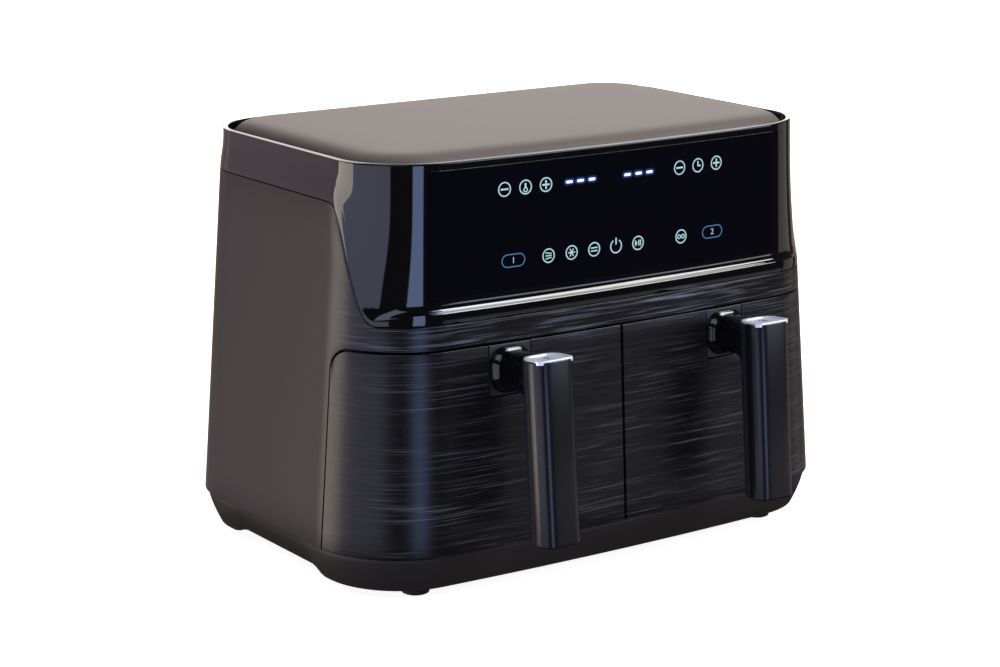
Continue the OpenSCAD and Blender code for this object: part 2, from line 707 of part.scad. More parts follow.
module heating_element()
    color("#5b5654")
    translate([drawer_cx, fan_y, element_z]) {
        for (r = ring_r) rotate_extrude() translate([r, 0]) circle(tube_r);
        for (a = [0:120:240]) rotate([0, 0, a - 30]) translate([0, -1.5, -1])
            translate([ring_r[1] + 1, 0, 0]) cube([ring_r[0] - ring_r[1] - 2, 3, 2]);
        for (dx = [-terminal_dx, terminal_dx])
            translate([dx, terminal_y, 0]) cylinder(r = terminal_r, h = 10 + reflector_h + 2);
        // Straps that hang the tube from the ceiling plate.
        for (a = [0:120:240]) rotate([0, 0, a + 10]) translate([ring_r[0], -3, 0])
            cube([1.2, 6, 10 - liner_t - 0.1]);
        for (a = [0:120:240]) rotate([0, 0, a + 10]) translate([ring_r[0], -3, 10 - liner_t - 1.2])
            cube([reflector_r - ring_r[0] - 0.5, 6, 1.2 - 0.1]);
    }

module fan_motor()
    color("#6d6f73")
    translate([drawer_cx, fan_y, motor_z])
        difference() {
            union() {
                cylinder(r = motor_r, h = motor_h - 4);
                cylinder(r = motor_r * 0.45, h = motor_h);
                translate([-motor_r - 8, -7, 0]) cube([2 * motor_r + 16, 14, 2]);
            }
            translate([0, 0, -1]) cylinder(r = shaft_r + shaft_clear, h = motor_h + 2);
        }

module fan_shaft()
    color("#b8b8bb")
    translate([drawer_cx, fan_y, hot_fan_z - 2])
        cylinder(r = shaft_r, h = cooler_z + cooler_h + 2 - hot_fan_z);

module fan_wheel(r, h, z, blades)
    translate([drawer_cx, fan_y, z])
        difference() {
            union() {
                cylinder(r = r, h = 1.2);
                cylinder(r = shaft_r + 3, h = h);
                for (i = [0:blades - 1]) rotate([0, 0, i * 360 / blades])
                    translate([shaft_r + 8, 0, 1]) rotate([0, 0, 18])
                        cube([r * 0.95 - shaft_r - 10, 1.2, h - 1]);
            }
            translate([0, 0, -1]) cylinder(r = shaft_r, h = h + 2);
        }
module hot_fan() color("#9d9da0") fan_wheel(fan_r, fan_h, hot_fan_z, 10);
module cooling_fan() color("#85878b") fan_wheel(cooler_r, cooler_h, cooler_z, 12);

// ---- Chassis and electrics ----
module motor_deck() {
    deck_x = opening_x1 + liner_t;
    deck_corner_r = 30;
    color("#99999c")
    difference() {
        translate([0, (board_y + board_t + liner_y1) / 2, deck_z])
            linear_extrude(deck_t) plan_box(2 * deck_x, liner_y1 - board_y - board_t, deck_corner_r);
        for (sx = [-1, 1])
            translate([sx * drawer_cx, fan_y, deck_z - 5]) cylinder(r = shaft_r + 3, h = 10);
    }
}

// Posts between the liners' ceilings and the deck, two rows of four.
post_r = 4;
post_edge = 6;
module deck_posts()
    color("#8f8f92")
    for (sx = [-1, 1], x = [opening_x0 + post_edge, opening_x1 - post_edge])
        for (y = [liner_y0 + post_edge, liner_y1 - post_edge - 2])
            translate([sx * x, y, ceiling_z]) cylinder(r = post_r, h = deck_z - ceiling_z);

// Upright sheet that backs the control board.
module board_bracket()
    color("#99999c")
    translate([-board_half_w, board_y + board_t, deck_z + deck_t])
        cube([2 * board_half_w, deck_t, board_z1 - deck_z - deck_t]);

module control_board() {
    color("#1d5a34")
    translate([-board_half_w, board_y, board_z0]) cube([2 * board_half_w, board_t, board_z1 - board_z0]);
    color("#202020")
    for (sx = [-1, 1]) translate([sx * board_half_w * 0.55 - 14, board_y - 1.6, board_z0 + 6])
        cube([28, 1.6, 10]);
}

key_x = [17.5, 35.5, 53, 79];
key_z = rim_z - 65;
upper_key_x = [52.7, 68.4, 84.2];
upper_key_z = rim_z - 20;
spring_r = 2.6;
spring_h = 2.4;
module touch_springs() {
    keys = concat([for (sx = [-1, 1], x = key_x) [sx * x, key_z]], [[0, key_z]],
        [for (sx = [-1, 1], x = upper_key_x) [sx * x, upper_key_z]]);
    color("#b9b9bb")
    for (key = keys) translate([key[0], board_y, key[1]]) rotate([90, 0, 0])
        cylinder(r = spring_r, h = spring_h);
}

module power_board() {
    z = motor_z + 5;
    color("#2c6b3c") translate([-26, -55, z]) cube([52, 100, 1.6]);
    color("#b0b0b0")
    for (x = [-20, 20], y = [-49, 39]) translate([x, y, motor_z]) cylinder(r = 2.5, h = 5);
    color("#27408f") translate([-16, -40, z + 1.6]) cube([20, 24, 17]);
    color("#303030") translate([-4, 0, z + 1.6]) cube([24, 30, 14]);
    color("#181818") translate([-14, 16, z + 1.6]) cylinder(r = 6, h = 18);
}

module thermal_cutouts()
    color("#d8d4c8")
    for (sx = [-1, 1])
        translate([sx * drawer_cx, fan_y - reflector_r + 22, ceiling_z + reflector_h])
            cylinder(r = 7, h = deck_z - ceiling_z - reflector_h - 0.3);

module temperature_probes()
    color("#c7c7c9")
    for (sx = [-1, 1])
        translate([sx * (drawer_cx + reflector_r + 9), fan_y - 40, ceiling_z - liner_t - 9])
            cylinder(r = 2, h = 9);

switch_t = opening_x0 - liner_t - 0.5;
plunger_r = 1.1;
plunger_x = 0.3 + switch_t / 2;
plunger_z = 100;
plunger_reach = 4;
module drawer_switch()
    color("#242424")
    difference() {
        translate([0.3, liner_y0, plunger_z - 10]) cube([switch_t, 18, 20]);
        translate([plunger_x, liner_y0 - 1, plunger_z]) rotate([-90, 0, 0])
            cylinder(r = plunger_r + 0.25, h = plunger_reach + 3);
    }
module switch_plunger()
    color("#c9352c")
    translate([plunger_x, backing_y1 + 0.2, plunger_z]) rotate([-90, 0, 0])
        cylinder(r = plunger_r, h = liner_y0 + plunger_reach - backing_y1 - 0.2);

module drawer_runners()
    color("#e4e2dc")
    for (sx = [-1, 1], dx = [-48, 48])
        translate([sx * drawer_cx + dx - 5, liner_y0 + 4, opening_z0])
            cube([10, liner_y1 - liner_y0 - 12, runner_h]);

module housing_screws()
    color("#8f8f92")
    for (sx = [-1, 1], sy = [-1, 1])
        translate([sx * foot_x, sy * foot_y, floor_z]) {
            cylinder(r = screw_r, h = wall + 8);
            translate([0, 0, wall]) cylinder(r = screw_head_r, h = screw_head_h);
        }

// The handles reach further forward than the cable inlet reaches back.
front_reach = grip_splay - grip_top_y + grip_d / 2;
rear_reach = half_d(inlet_z) + inlet_flange;
module place() translate([0, (front_reach - rear_reach) / 2, 0]) children();

place() base_tray();
place() rubber_feet();
place() side_shell();
place() rear_panel();
place() front_frame();
place() control_housing();
place() touch_panel();
place() top_cover();
place() rear_grilles();
place() cable_inlet();
place() left() cavity_liner();  // left_cavity_liner
place() cavity_liner();  // right_cavity_liner
place() left() heat_reflector();  // left_heat_reflector
place() heat_reflector();  // right_heat_reflector
place() left() heating_element();  // left_heating_element
place() heating_element();  // right_heating_element
place() left() fan_motor();  // left_fan_motor
place() fan_motor();  // right_fan_motor
place() motor_deck();
place() deck_posts();
place() board_bracket();
place() control_board();
place() touch_springs();
place() power_board();
place() thermal_cutouts();
place() temperature_probes();
place() left() drawer_switch();  // left_drawer_switch
place() drawer_switch();  // right_drawer_switch
place() drawer_runners();
place() housing_screws();
place() left() drawer_front();  // left_drawer_front
place() left() drawer_backing();  // left_drawer_backing
place() left() pan();  // left_pan
place() left() handle_plate();  // left_handle_plate
place() left() handle_neck();  // left_handle_neck
place() left() handle_core();  // left_handle_core
place() left() handle_cover();  // left_handle_cover
place() left() handle_cap();  // left_handle_cap
place() left() handle_screws();  // left_handle_screws
place() drawer_front();  // right_drawer_front
place() drawer_backing();  // right_drawer_backing
place() pan();  // right_pan
place() handle_plate();  // right_handle_plate
place() handle_neck();  // right_handle_neck
place() handle_core();  // right_handle_core
place() handle_cover();  // right_handle_cover
place() handle_cap();  // right_handle_cap
place() handle_screws();  // right_handle_screws
place() left() crisper_plate();  // left_crisper_plate
place() left() plate_feet();  // left_plate_feet
place() crisper_plate();  // right_crisper_plate
place() plate_feet();  // right_plate_feet
place() left() fan_shaft();  // left_fan_shaft
place() left() hot_fan();  // left_hot_fan
place() left() cooling_fan();  // left_cooling_fan
place() fan_shaft();  // right_fan_shaft
place() hot_fan();  // right_hot_fan
place() cooling_fan();  // right_cooling_fan
place() left() switch_plunger();  // left_switch_plunger
place() switch_plunger();  // right_switch_plunger
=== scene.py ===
import json
import math

import bmesh
import bpy
from mathutils import Matrix, Vector


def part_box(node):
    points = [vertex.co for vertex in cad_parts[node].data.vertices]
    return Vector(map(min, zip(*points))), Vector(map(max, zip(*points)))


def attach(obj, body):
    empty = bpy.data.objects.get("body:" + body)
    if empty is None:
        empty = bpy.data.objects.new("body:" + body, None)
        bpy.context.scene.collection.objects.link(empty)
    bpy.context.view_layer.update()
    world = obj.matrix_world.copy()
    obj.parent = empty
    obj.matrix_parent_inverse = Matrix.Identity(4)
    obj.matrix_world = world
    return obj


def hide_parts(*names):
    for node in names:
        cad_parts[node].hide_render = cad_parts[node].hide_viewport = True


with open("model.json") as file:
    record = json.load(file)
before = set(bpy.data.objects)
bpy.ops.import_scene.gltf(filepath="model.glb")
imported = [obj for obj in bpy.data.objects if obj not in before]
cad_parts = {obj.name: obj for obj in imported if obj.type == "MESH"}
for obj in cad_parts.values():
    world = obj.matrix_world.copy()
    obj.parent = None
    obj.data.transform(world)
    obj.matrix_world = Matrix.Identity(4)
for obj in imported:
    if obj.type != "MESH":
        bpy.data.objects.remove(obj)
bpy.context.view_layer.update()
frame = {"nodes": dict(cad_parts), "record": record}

# ---- Studio ----
# A pale matt floor, soft boxes of tall cloth round the object and one overhead, and a
# camera on a long lens a little above the lid. Gloss black shows each box as a strip.
mm = 0.001
tray_low, tray_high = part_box("base_tray")
body_y = (tray_low.y + tray_high.y) / 2
scene = bpy.context.scene
scene.view_settings.view_transform = "Standard"


def direction(azimuth, elevation):
    """Unit vector from the object to someone who stands at that azimuth, 0 being in front."""
    a, e = math.radians(azimuth), math.radians(elevation)
    return Vector((math.sin(a) * math.cos(e), -math.cos(a) * math.cos(e), math.sin(e)))


def linear(srgb):
    """An sRGB hex colour as linear red, green, blue and alpha."""
    parts = [int(srgb[i:i + 2], 16) / 255 for i in (1, 3, 5)]
    return tuple(p / 12.92 if p <= 0.04045 else ((p + 0.055) / 1.055) ** 2.4
                 for p in parts) + (1.0,)


def add_node(tree, kind, inputs=None, **settings):
    """Adds a node with its settings; an input is a number, a colour or another node's output."""
    node = tree.nodes.new(kind)
    for name, value in settings.items():
        setattr(node, name, value)
    for name, value in (inputs or {}).items():
        if isinstance(value, bpy.types.NodeSocket):
            tree.links.new(value, node.inputs[name])
        else:
            node.inputs[name].default_value = value
    return node


camera_side = direction(-34.77, 13.68)
camera_aim = Vector((-12.3 * mm, body_y - 2.7 * mm, 132.5 * mm))
camera_distance = 1.741
camera = bpy.data.objects.new("camera", bpy.data.cameras.new("camera"))
camera.data.lens = 92.25
camera.data.sensor_width = 36
camera.location = camera_aim + camera_side * camera_distance
camera.rotation_euler = camera_side.to_track_quat("Z", "Y").to_euler()
scene.collection.objects.link(camera)
scene.camera = camera


def soft_box(name, azimuth, elevation, distance, width, height, radiance, tint):
    """A cloth-fronted lamp that faces the object, as bright as its radiance says."""
    lamp = bpy.data.lights.new(name, "AREA")
    lamp.shape = "RECTANGLE"
    lamp.size, lamp.size_y = width, height
    lamp.energy = radiance * math.pi * width * height
    lamp.color = linear(tint)[:3]
    side = direction(azimuth, elevation)
    box = bpy.data.objects.new(name, lamp)
    box.location = Vector((0, body_y, 0.15)) + side * distance
    box.rotation_euler = side.to_track_quat("Z", "Y").to_euler()
    box.visible_camera = False
    scene.collection.objects.link(box)


# Upright boxes reach below the floor's level, because the leaning walls mirror what is low.
# Each row: name, azimuth, elevation, distance, width, height, radiance, tint.
for lamp_row in (
    ("strip_front", -15.5, -6.5, 2.6, 0.68, 1.5, 4.3, "#a8c4ff"),
    ("wall_left", -80, -6.5, 2.6, 2.7, 1.5, 1.85, "#cccdf0"),
    ("strip_left", -121, -6.5, 2.6, 1.36, 1.5, 4.4, "#fff2e6"),
    ("wall_rear_left", -151, -4, 2.6, 1.3, 1.8, 0.7, "#f2dcea"),
    ("wall_rear", -190, -4, 2.6, 2.4, 1.8, 0.3, "#ffe4cc"),
    ("wall_rear_right", 122, -4, 2.6, 1.2, 1.8, 0.3, "#ffe4cc"),
    ("wall_right", 84, -6.5, 2.6, 1.3, 1.5, 0.45, "#f4e6dc"),
    ("key_top", 67, 53, 2.2, 0.9, 0.9, 14.5, "#fffdfa"),
    ("key_left", 50, 62, 2.2, 0.6, 0.6, 9.0, "#c4d8ff"),
    ("front_right", 38, 16, 2.4, 1.3, 0.8, 4.0, "#dfe6ff"),
    ("upper_left", -56, 42, 2.4, 1.7, 1.2, 2.4, "#cfdcff"),
    ("table_glow", 38, -16, 0.85, 0.8, 0.2, 0.5, "#f0ecf4"),
    ("back_low", 146, 22, 2.6, 1.6, 1.9, 2.8, "#fff8f4"),
    ("side_warm", -118, 38, 2.6, 1.6, 0.9, 0.8, "#ffd8b8"),
):
    soft_box(*lamp_row)


def new_finish(name, colour, roughness, **sockets):
    """A Principled material with its constant values; patterns are linked to it afterwards."""
    material = bpy.data.materials.new(name)
    material.use_nodes = True
    shader = material.node_tree.nodes["Principled BSDF"]
    shader.inputs["Base Color"].default_value = linear(colour)
    shader.inputs["Roughness"].default_value = roughness
    for socket, value in sockets.items():
        shader.inputs[socket.replace("_", " ")].default_value = value
    return material, material.node_tree, shader


floor_mesh = bmesh.new()
bmesh.ops.create_grid(floor_mesh, x_segments=1, y_segments=1, size=30)
floor_data = bpy.data.meshes.new("floor")
floor_mesh.to_mesh(floor_data)
floor_mesh.free()
studio_floor = bpy.data.objects.new("floor", floor_data)
floor_paint, _, _ = new_finish("matt_white_paint", "#e8e8e8", 0.9,
                               Emission_Color=linear("#ffffff"), Emission_Strength=0.9)
floor_data.materials.append(floor_paint)
# Black gloss stays black: the floor is left out of reflections.
studio_floor.visible_glossy = False
scene.collection.objects.link(studio_floor)

room = bpy.data.worlds.new("room")
room.use_nodes = True
room.node_tree.nodes.clear()
room_tree = room.node_tree
seen = add_node(room_tree, "ShaderNodeBackground", {"Color": linear("#ffffff"), "Strength": 1.0})
dim = add_node(room_tree, "ShaderNodeBackground", {"Color": linear("#b4aeb4"), "Strength": 0.1})
ray = add_node(room_tree, "ShaderNodeLightPath")
either = add_node(room_tree, "ShaderNodeMixShader",
                  {0: ray.outputs["Is Camera Ray"], 1: dim.outputs[0], 2: seen.outputs[0]})
add_node(room_tree, "ShaderNodeOutputWorld", {"Surface": either.outputs[0]})
scene.world = room

# ---- Plinth tray ----
# The dish that everything stands in: matt ABS, spark-eroded in the mould to a fine grain.
# Its wall curves in under the shell, and each side is raised a little for the fingers.
shell_low, shell_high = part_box("side_shell")
seam_z, rim_z = shell_low.z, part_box("control_housing")[1].z
seam_half_w, seam_half_d = shell_high.x, shell_high.y - body_y
side_lean, end_lean = 18.6 * mm, 13.3 * mm
seam_corner_r, rim_corner_r = 61 * mm, 46.5 * mm
front_bow = 8 * mm
seam_fit = 0.4 * mm
wall = 2.5 * mm


def rise(z):
    return (z - seam_z) / (rim_z - seam_z)


def half_w(z):
    return seam_half_w - side_lean * rise(z)


def half_d(z):
    return seam_half_d - end_lean * rise(z)


def corner_r(z):
    return seam_corner_r + (rim_corner_r - seam_corner_r) * rise(z)


def spot(station, z, inset=0.0, plan_z=None):
    """Point of the tapered body at a station (across, along, angle), a height and an inset."""
    across, along, angle = station
    at = z if plan_z is None else plan_z
    r = corner_r(at)
    x = across * (half_w(at) - r) + (r - inset) * math.cos(math.radians(angle))
    y = along * (half_d(at) - r) + (r - inset) * math.sin(math.radians(angle))
    bow = front_bow * (x / half_w(at)) ** 2 * min(1, max(0, -y / (half_d(at) - r)))
    return Vector((x, body_y + y + bow, z))


def spaced(start, end, count):
    return [start + (end - start) * i / count for i in range(count + 1)]


def graded(start, end, count):
    """Like spaced, but closest together at the start."""
    return [start + (end - start) * (i / count) ** 2 for i in range(count + 1)]


def mirrored(stations):
    return [(-across, along, 180 - angle) for across, along, angle in reversed(stations)]


def round_body(front_corner, fronts=24):
    """Stations right round the body, with the given angles on the front corners."""
    half = [(across, -1, -90) for across in spaced(0, 1, fronts)[1:-1]]
    half += [(1, -1, -a) for a in sorted(front_corner, reverse=True)]
    half += [(1, along, 0) for along in spaced(-1, 1, 24)[1:-1]]
    half += [(1, 1, a) for a in spaced(0, 90, 40)]
    half += [(across, 1, 90) for across in spaced(1, 0, 10)[1:-1]]
    return [(0, -1, -90)] + half + [(0, 1, 90)] + mirrored(half)


def extend(bm, edges):
    """Extrudes a line of edges once; gives its new vertices and its new edges."""
    made = bmesh.ops.extrude_edge_only(bm, edges=edges)["geom"]
    fresh = {g for g in made if isinstance(g, bmesh.types.BMVert)}
    return fresh, [g for g in made if isinstance(g, bmesh.types.BMEdge) and set(g.verts) <= fresh]


def sweep(stations, section, ring=True, tube=True):
    """Carries a wall's section round the stations. section(station) gives (height, inset) pairs
    in order round the wall, with the plan's height as a third value where it isn't the point's.
    The last station joins the first with ring, and a section's end joins its start with tube."""
    bm = bmesh.new()
    number = bm.verts.layers.int.new("station")
    sections = [section(st) for st in stations]
    if tube:
        sections = [points + points[:1] for points in sections]
    line = []
    for i, st in enumerate(stations):
        v = bm.verts.new(spot(st, *sections[i][0]))
        v[number] = i
        line.append(v)
    edges = [bm.edges.new(pair) for pair in zip(line, line[1:] + (line[:1] if ring else []))]
    for level in range(1, len(sections[0])):
        fresh, edges = extend(bm, edges)
        for v in fresh:
            v.co = spot(stations[v[number]], *sections[v[number]][level])
    close(bm)
    return bm


def close(bm):
    """Welds what meets, fills what is open and turns every face outwards."""
    bmesh.ops.remove_doubles(bm, verts=bm.verts, dist=0.001 * mm)
    bmesh.ops.holes_fill(bm, edges=[e for e in bm.edges if e.is_boundary])
    bmesh.ops.recalc_face_normals(bm, faces=bm.faces)


def add_piece(name, bm, finish, body, node=None, crease=40):
    """Makes a bmesh an object with its finish, on a body; it stands for the design's node, if
    one is given. Edges sharper than crease stay crisp."""
    data = bpy.data.meshes.new(name)
    bm.to_mesh(data)
    bm.free()
    data.shade_smooth()
    data.set_sharp_from_angle(angle=math.radians(crease))
    data.materials.append(finish)
    made = bpy.data.objects.new(name, data)
    scene.collection.objects.link(made)
    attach(made, body)
    if node:
        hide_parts(node)


def grain(tree, shader, size, depth, stretch, detail):
    """Bump of the given grain size and depth in metres, stretched along the axes given."""
    place = add_node(tree, "ShaderNodeTexCoord")
    turn = add_node(tree, "ShaderNodeMapping", {
        "Vector": place.outputs["Object"], "Scale": [1 / (size * s) for s in stretch]})
    noise = add_node(tree, "ShaderNodeTexNoise", {
        "Vector": turn.outputs[0], "Scale": 1.0, "Detail": detail, "Roughness": 0.6})
    bump = add_node(tree, "ShaderNodeBump", {
        "Height": noise.outputs["Fac"], "Strength": 1.0, "Distance": depth})
    tree.links.new(bump.outputs[0], shader.inputs["Normal"])
    return noise.outputs["Fac"]


def toned(tree, shader, pattern, low, high):
    """Lets a pattern swing the base colour between two tones."""
    tone = add_node(tree, "ShaderNodeMix", {0: pattern, 6: linear(low), 7: linear(high)},
                    data_type="RGBA")
    tree.links.new(tone.outputs[2], shader.inputs["Base Color"])


def textured(name, colour, roughness, size, depth, tones=None, stretch=(1, 1, 1), detail=2,
             **sockets):
    """A finish with a grain in its surface, which swings its colour too where tones are given."""
    material, tree, shader = new_finish(name, colour, roughness, **sockets)
    pattern = grain(tree, shader, size, depth, stretch, detail)
    if tones:
        toned(tree, shader, pattern, *tones)
    return material


# Spark-eroded ABS: warm near-black, with an even grain of about a third of a millimetre
# that spreads every highlight, drawn at half a millimetre so that it shows.
grained_abs = textured("spark_grained_abs", "#16110f", 0.6, 0.5 * mm, 0.02 * mm,
                       ("#120e0c", "#1c1613"), detail=3, IOR=1.53)

skirt_z, skirt_tuck = 7 * mm, 12 * mm
seam_set_in = 2 * mm
finger_rise = 4.5 * mm
tray_floor_z = 13 * mm
tray_top_z = seam_z - seam_fit
# The recess runs along each side to this share of its length, and fades over the next share.
recess_end, recess_fade = 0.92, 0.26
skirt_power = 1.36


def tray_section(station):
    across, along, angle = station
    flat = min(1, max(0, (recess_end - abs(along)) / recess_fade)) if abs(across) == 1 else 0
    low = skirt_z + finger_rise * flat * flat * (3 - 2 * flat)
    curve = [(low + (tray_top_z - low) * t,
              seam_set_in + (skirt_tuck - seam_set_in) * (1 - t) ** skirt_power)
             for t in spaced(0.03, 0.97, 14)]
    under = [(tray_floor_z, skirt_tuck + 7 * mm), (tray_floor_z - 1 * mm, skirt_tuck + 5 * mm),
             (low, skirt_tuck + 2.4 * mm), (low, skirt_tuck + 0.8 * mm)]
    inner = [(tray_top_z, seam_set_in + 0.4 * mm), (tray_top_z, seam_set_in + wall),
             (seam_z - 9 * mm, seam_set_in + wall + 3 * mm),
             (tray_floor_z + wall, skirt_tuck + 5 * mm), (tray_floor_z + wall, skirt_tuck + 9 * mm)]
    return under + curve + inner


plain_corner = spaced(0, 90, 40)
tray_mesh = sweep(round_body(plain_corner), tray_section, tube=False)
add_piece("plinth_tray", tray_mesh, grained_abs, "housing", "base_tray")

# ---- Rubber feet ----
# Four turned-looking pads of moulded nitrile rubber, pushed up through the tray. The
# edge is rounded, and the sole has a shallow dish so that it grips.
nitrile_rubber = textured("moulded_nitrile_rubber", "#0d0d0e", 0.7, 0.8 * mm, 0.015 * mm, IOR=1.52)
foot_r = 9 * mm
feet_low, feet_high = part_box("rubber_feet")


def spun(points, centre, axis, steps):
    """A bmesh turned round an axis from the points of its section."""
    bm = bmesh.new()
    line = [bm.verts.new(p) for p in points]
    edges = [bm.edges.new(pair) for pair in zip(line, line[1:])]
    bmesh.ops.spin(bm, geom=line + edges, cent=centre, axis=axis, angle=2 * math.pi,
                   steps=steps, use_merge=True)
    return bm


def pour(bm, into):
    """Adds a bmesh to another one and frees it."""
    part = bpy.data.meshes.new("part")
    bm.to_mesh(part)
    bm.free()
    into.from_mesh(part)
    bpy.data.meshes.remove(part)


# Half of a foot's section from the sole's dish up to the shank, as (radius, height) in mm.
foot_section = [(0, 0.6), (4.5, 0.6), (5.2, 0), (8.1, 0), (8.8, 0.35), (9, 1), (8.9, 5.5),
                (8.2, 6.2), (8.2, 12.8), (0, 12.8)]
feet_mesh = bmesh.new()
for x in (feet_low.x + foot_r, feet_high.x - foot_r):
    for y in (feet_low.y + foot_r, feet_high.y - foot_r):
        pad = spun([(x + r * mm, y, z * mm) for r, z in foot_section], (x, y, 0), (0, 0, 1), 40)
        close(pad)
        pour(pad, feet_mesh)
add_piece("rubber_pads", feet_mesh, nitrile_rubber, "housing", "rubber_feet")

# ---- Side shell ----
# One moulding of dark ABS that wraps both sides and bridges the front above the drawers.
# It is in-mould decorated with a brushed pattern: fine horizontal hairlines, satin.
housing_front_z, housing_side_z = 177 * mm, 250 * mm
edge_slope = 3.1
flank_start_y = -half_d(housing_front_z) + 31 * mm
drawer_top_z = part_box("right_drawer_front")[1].z
wrap_angle = 8.0
drawer_corner_r = 15 * mm
seam_gap = 1.2 * mm


def soft_max(a, b, k):
    return max(a, b) + max(k - abs(a - b), 0) ** 2 / (4 * k)


def twin(station):
    """The same station on the right half."""
    across, along, angle = station
    return (-across, along, 180 - angle) if across < 0 or angle > 90 else station


def housing_edge(station):
    """Height of the seam between shell and control housing: low in front, high at the sides."""
    y = spot(station, (housing_front_z + housing_side_z) / 2).y - body_y
    climb = soft_max(housing_front_z, housing_front_z + edge_slope * (y - flank_start_y), 18 * mm)
    return -soft_max(-housing_side_z, -climb, 28 * mm)


def drawer_edge(station, gap=0.0):
    """Height of the drawer front's upper edge, or of a line that runs round it at a gap."""
    angle = -twin(station)[2]
    into = max(0, math.radians(angle - wrap_angle) * corner_r(drawer_top_z) + gap)
    r = drawer_corner_r + gap
    return drawer_top_z + gap - (r - math.sqrt(r * r - max(r - into, 0) ** 2))


def lipped(z0, z1, thick, r=0.5 * mm, levels=8):
    """Section of a wall from z0 to z1 whose outer edges are rounded."""
    arc = [(math.sin(a), math.cos(a)) for a in spaced(0, math.pi / 2, 3)]
    outer = [(z, 0) for z in spaced(z0 + r, z1 - r, levels)]
    top = [(z1 - r + r * s, r - r * c) for s, c in arc[1:]]
    low = [(z0 + r - r * s, r - r * c) for s, c in reversed(arc)]
    return outer + top + [(z1, thick), (z0, thick)] + low


# Brushed in-mould film over ABS: hairlines about half a millimetre apart and a few
# centimetres long on a near-black ground, under satin lacquer. Their bump catches the light,
# and their crests are also painted a paler cool grey: a painted highlight.
brushed_film, film_tree, film_shader = new_finish("brushed_film_painted_sheen", "#121013", 0.31,
                                                  IOR=1.38)


def hairlines_and_sheen(tree, shader, dark, sheen_tone, depth, across=36 * mm, pitch=0.52 * mm):
    """Horizontal brushing that runs round the body: fine broken lines, strong across the
    front and dying away along the sides, where the film is stretched. The crests of the lines
    are also painted paler, as a painted sheen."""

    def mapped(value, from_min, from_max, to_min, to_max):
        return add_node(tree, "ShaderNodeMapRange", {
            "Value": value, "From Min": from_min, "From Max": from_max,
            "To Min": to_min, "To Max": to_max}).outputs[0]

    def combined(operation, a, b):
        return add_node(tree, "ShaderNodeMath", {0: a, 1: b}, operation=operation).outputs[0]

    place = add_node(tree, "ShaderNodeTexCoord")
    axes = add_node(tree, "ShaderNodeSeparateXYZ", {"Vector": place.outputs["Object"]})
    front_y = body_y - half_d(seam_z)
    fade = mapped(axes.outputs["Y"], front_y + 22 * mm, front_y + 62 * mm, 1.0, 0.04)
    lines = []
    for size, reach in ((pitch, across), (pitch * 2.2, across * 1.7), (24 * mm, 80 * mm)):
        turn = add_node(tree, "ShaderNodeMapping", {
            "Vector": place.outputs["Object"], "Scale": (1 / reach, 1 / reach, 1 / size)})
        lines.append(add_node(tree, "ShaderNodeTexNoise", {
            "Vector": turn.outputs[0], "Scale": 1.0, "Detail": 1.5,
            "Roughness": 0.6}).outputs["Fac"])
    both = combined("ADD", lines[0], lines[1])
    shown = combined("MULTIPLY", mapped(lines[2], 0.38, 0.62, 0.25, 1.0), fade)
    # Above the drawers, on the bridge of the shell, the painted sheen on the streaks is at its
    # full colour; lower down it is painted weaker.
    bridge_sheen = mapped(axes.outputs["Z"], drawer_top_z - 2 * mm, drawer_top_z + 3 * mm, 0.32, 1.0)
    bump = add_node(tree, "ShaderNodeBump", {"Height": both, "Strength": shown, "Distance": depth})
    tree.links.new(bump.outputs[0], shader.inputs["Normal"])
    # The paler tone on the crests of the lines is painted sheen, not a colour of the film.
    sheen_peak = mapped(both, 1.06, 1.28, 0.0, 1.0)
    share = combined("MULTIPLY", combined("MULTIPLY", shown, bridge_sheen), sheen_peak)
    toned(tree, shader, share, dark, sheen_tone)


# The second tone, #666676, is the painted sheen on the line crests.
hairlines_and_sheen(film_tree, film_shader, "#0c0908", "#666676", 0.055 * mm)

shell_opening = [0, 2.3, 4.6, 6.74] + graded(6.83, 27, 34) + spaced(28.4, 90, 44)
rear_join = 0.97


def shell_section(station):
    along, angle = station[1], -twin(station)[2]
    in_opening = along == -1 and angle > 6.8
    low = drawer_edge(station, seam_gap) if in_opening else seam_z
    return lipped(low, housing_edge(station) - 0.3 * mm, wall)


half_wrap = [st for st in round_body(shell_opening, 60)
             if st[0] >= 0 and not (st[2] == 90 and st[0] < 1) and st[0] != 0]
half_wrap.append((rear_join, 1, 90))
wrap_line = mirrored(half_wrap) + [(0, -1, -90)] + half_wrap
shell_mesh = sweep(wrap_line, shell_section, ring=False)
add_piece("wrap_shell", shell_mesh, brushed_film, "housing", "side_shell")

# ---- Control housing ----
# Piano-black ABS, polished in the mould. A flush lip follows the shell, a hollow ledge
# steps in from it to the touch panel, and a narrow rim stands round the lid.
ledge_lip, ledge_h = 7.5 * mm, 4.2 * mm
ledge_least, ledge_rate = 0.8 * mm, 0.04
panel_half_w, panel_t, panel_margin = 140 * mm, 1.4 * mm, 3 * mm
panel_z0 = housing_front_z + ledge_lip + ledge_h + panel_margin
panel_z1 = rim_z - panel_margin - 2 * mm
lens_fit = 0.4 * mm
rim_w, groove_w = 3 * mm, 4 * mm
shelf_drop, shelf_t, shelf_reach = 6 * mm, 2 * mm, 5 * mm
# The ledge is crisp up to this angle round a front corner and has melted away over the next.
melt_start, melt_turn = 17, 58
melt_rise = 0.75
hollow_steps, hollow_sag = 12, 0.12


def ledge_inset(z):
    return ledge_least + ledge_rate * (rim_z - z)


def lens_angle(x):
    """Corner angle, from the side, at which the front stands x from the middle."""
    z = (panel_z0 + panel_z1) / 2
    r = corner_r(z)
    return 90 - math.degrees(math.asin((x - half_w(z) + r) / (r - ledge_inset(z))))


def melted(z, e, soft):
    """Inset of the upper wall: a step where the ledge is crisp, drawn out where it melts."""
    share = min(1, max(0, (z - e - 1.2 * mm) / (melt_rise * (rim_z - e))))
    return ledge_inset(z) * (1 - soft + soft * share * share * (3 - 2 * share))


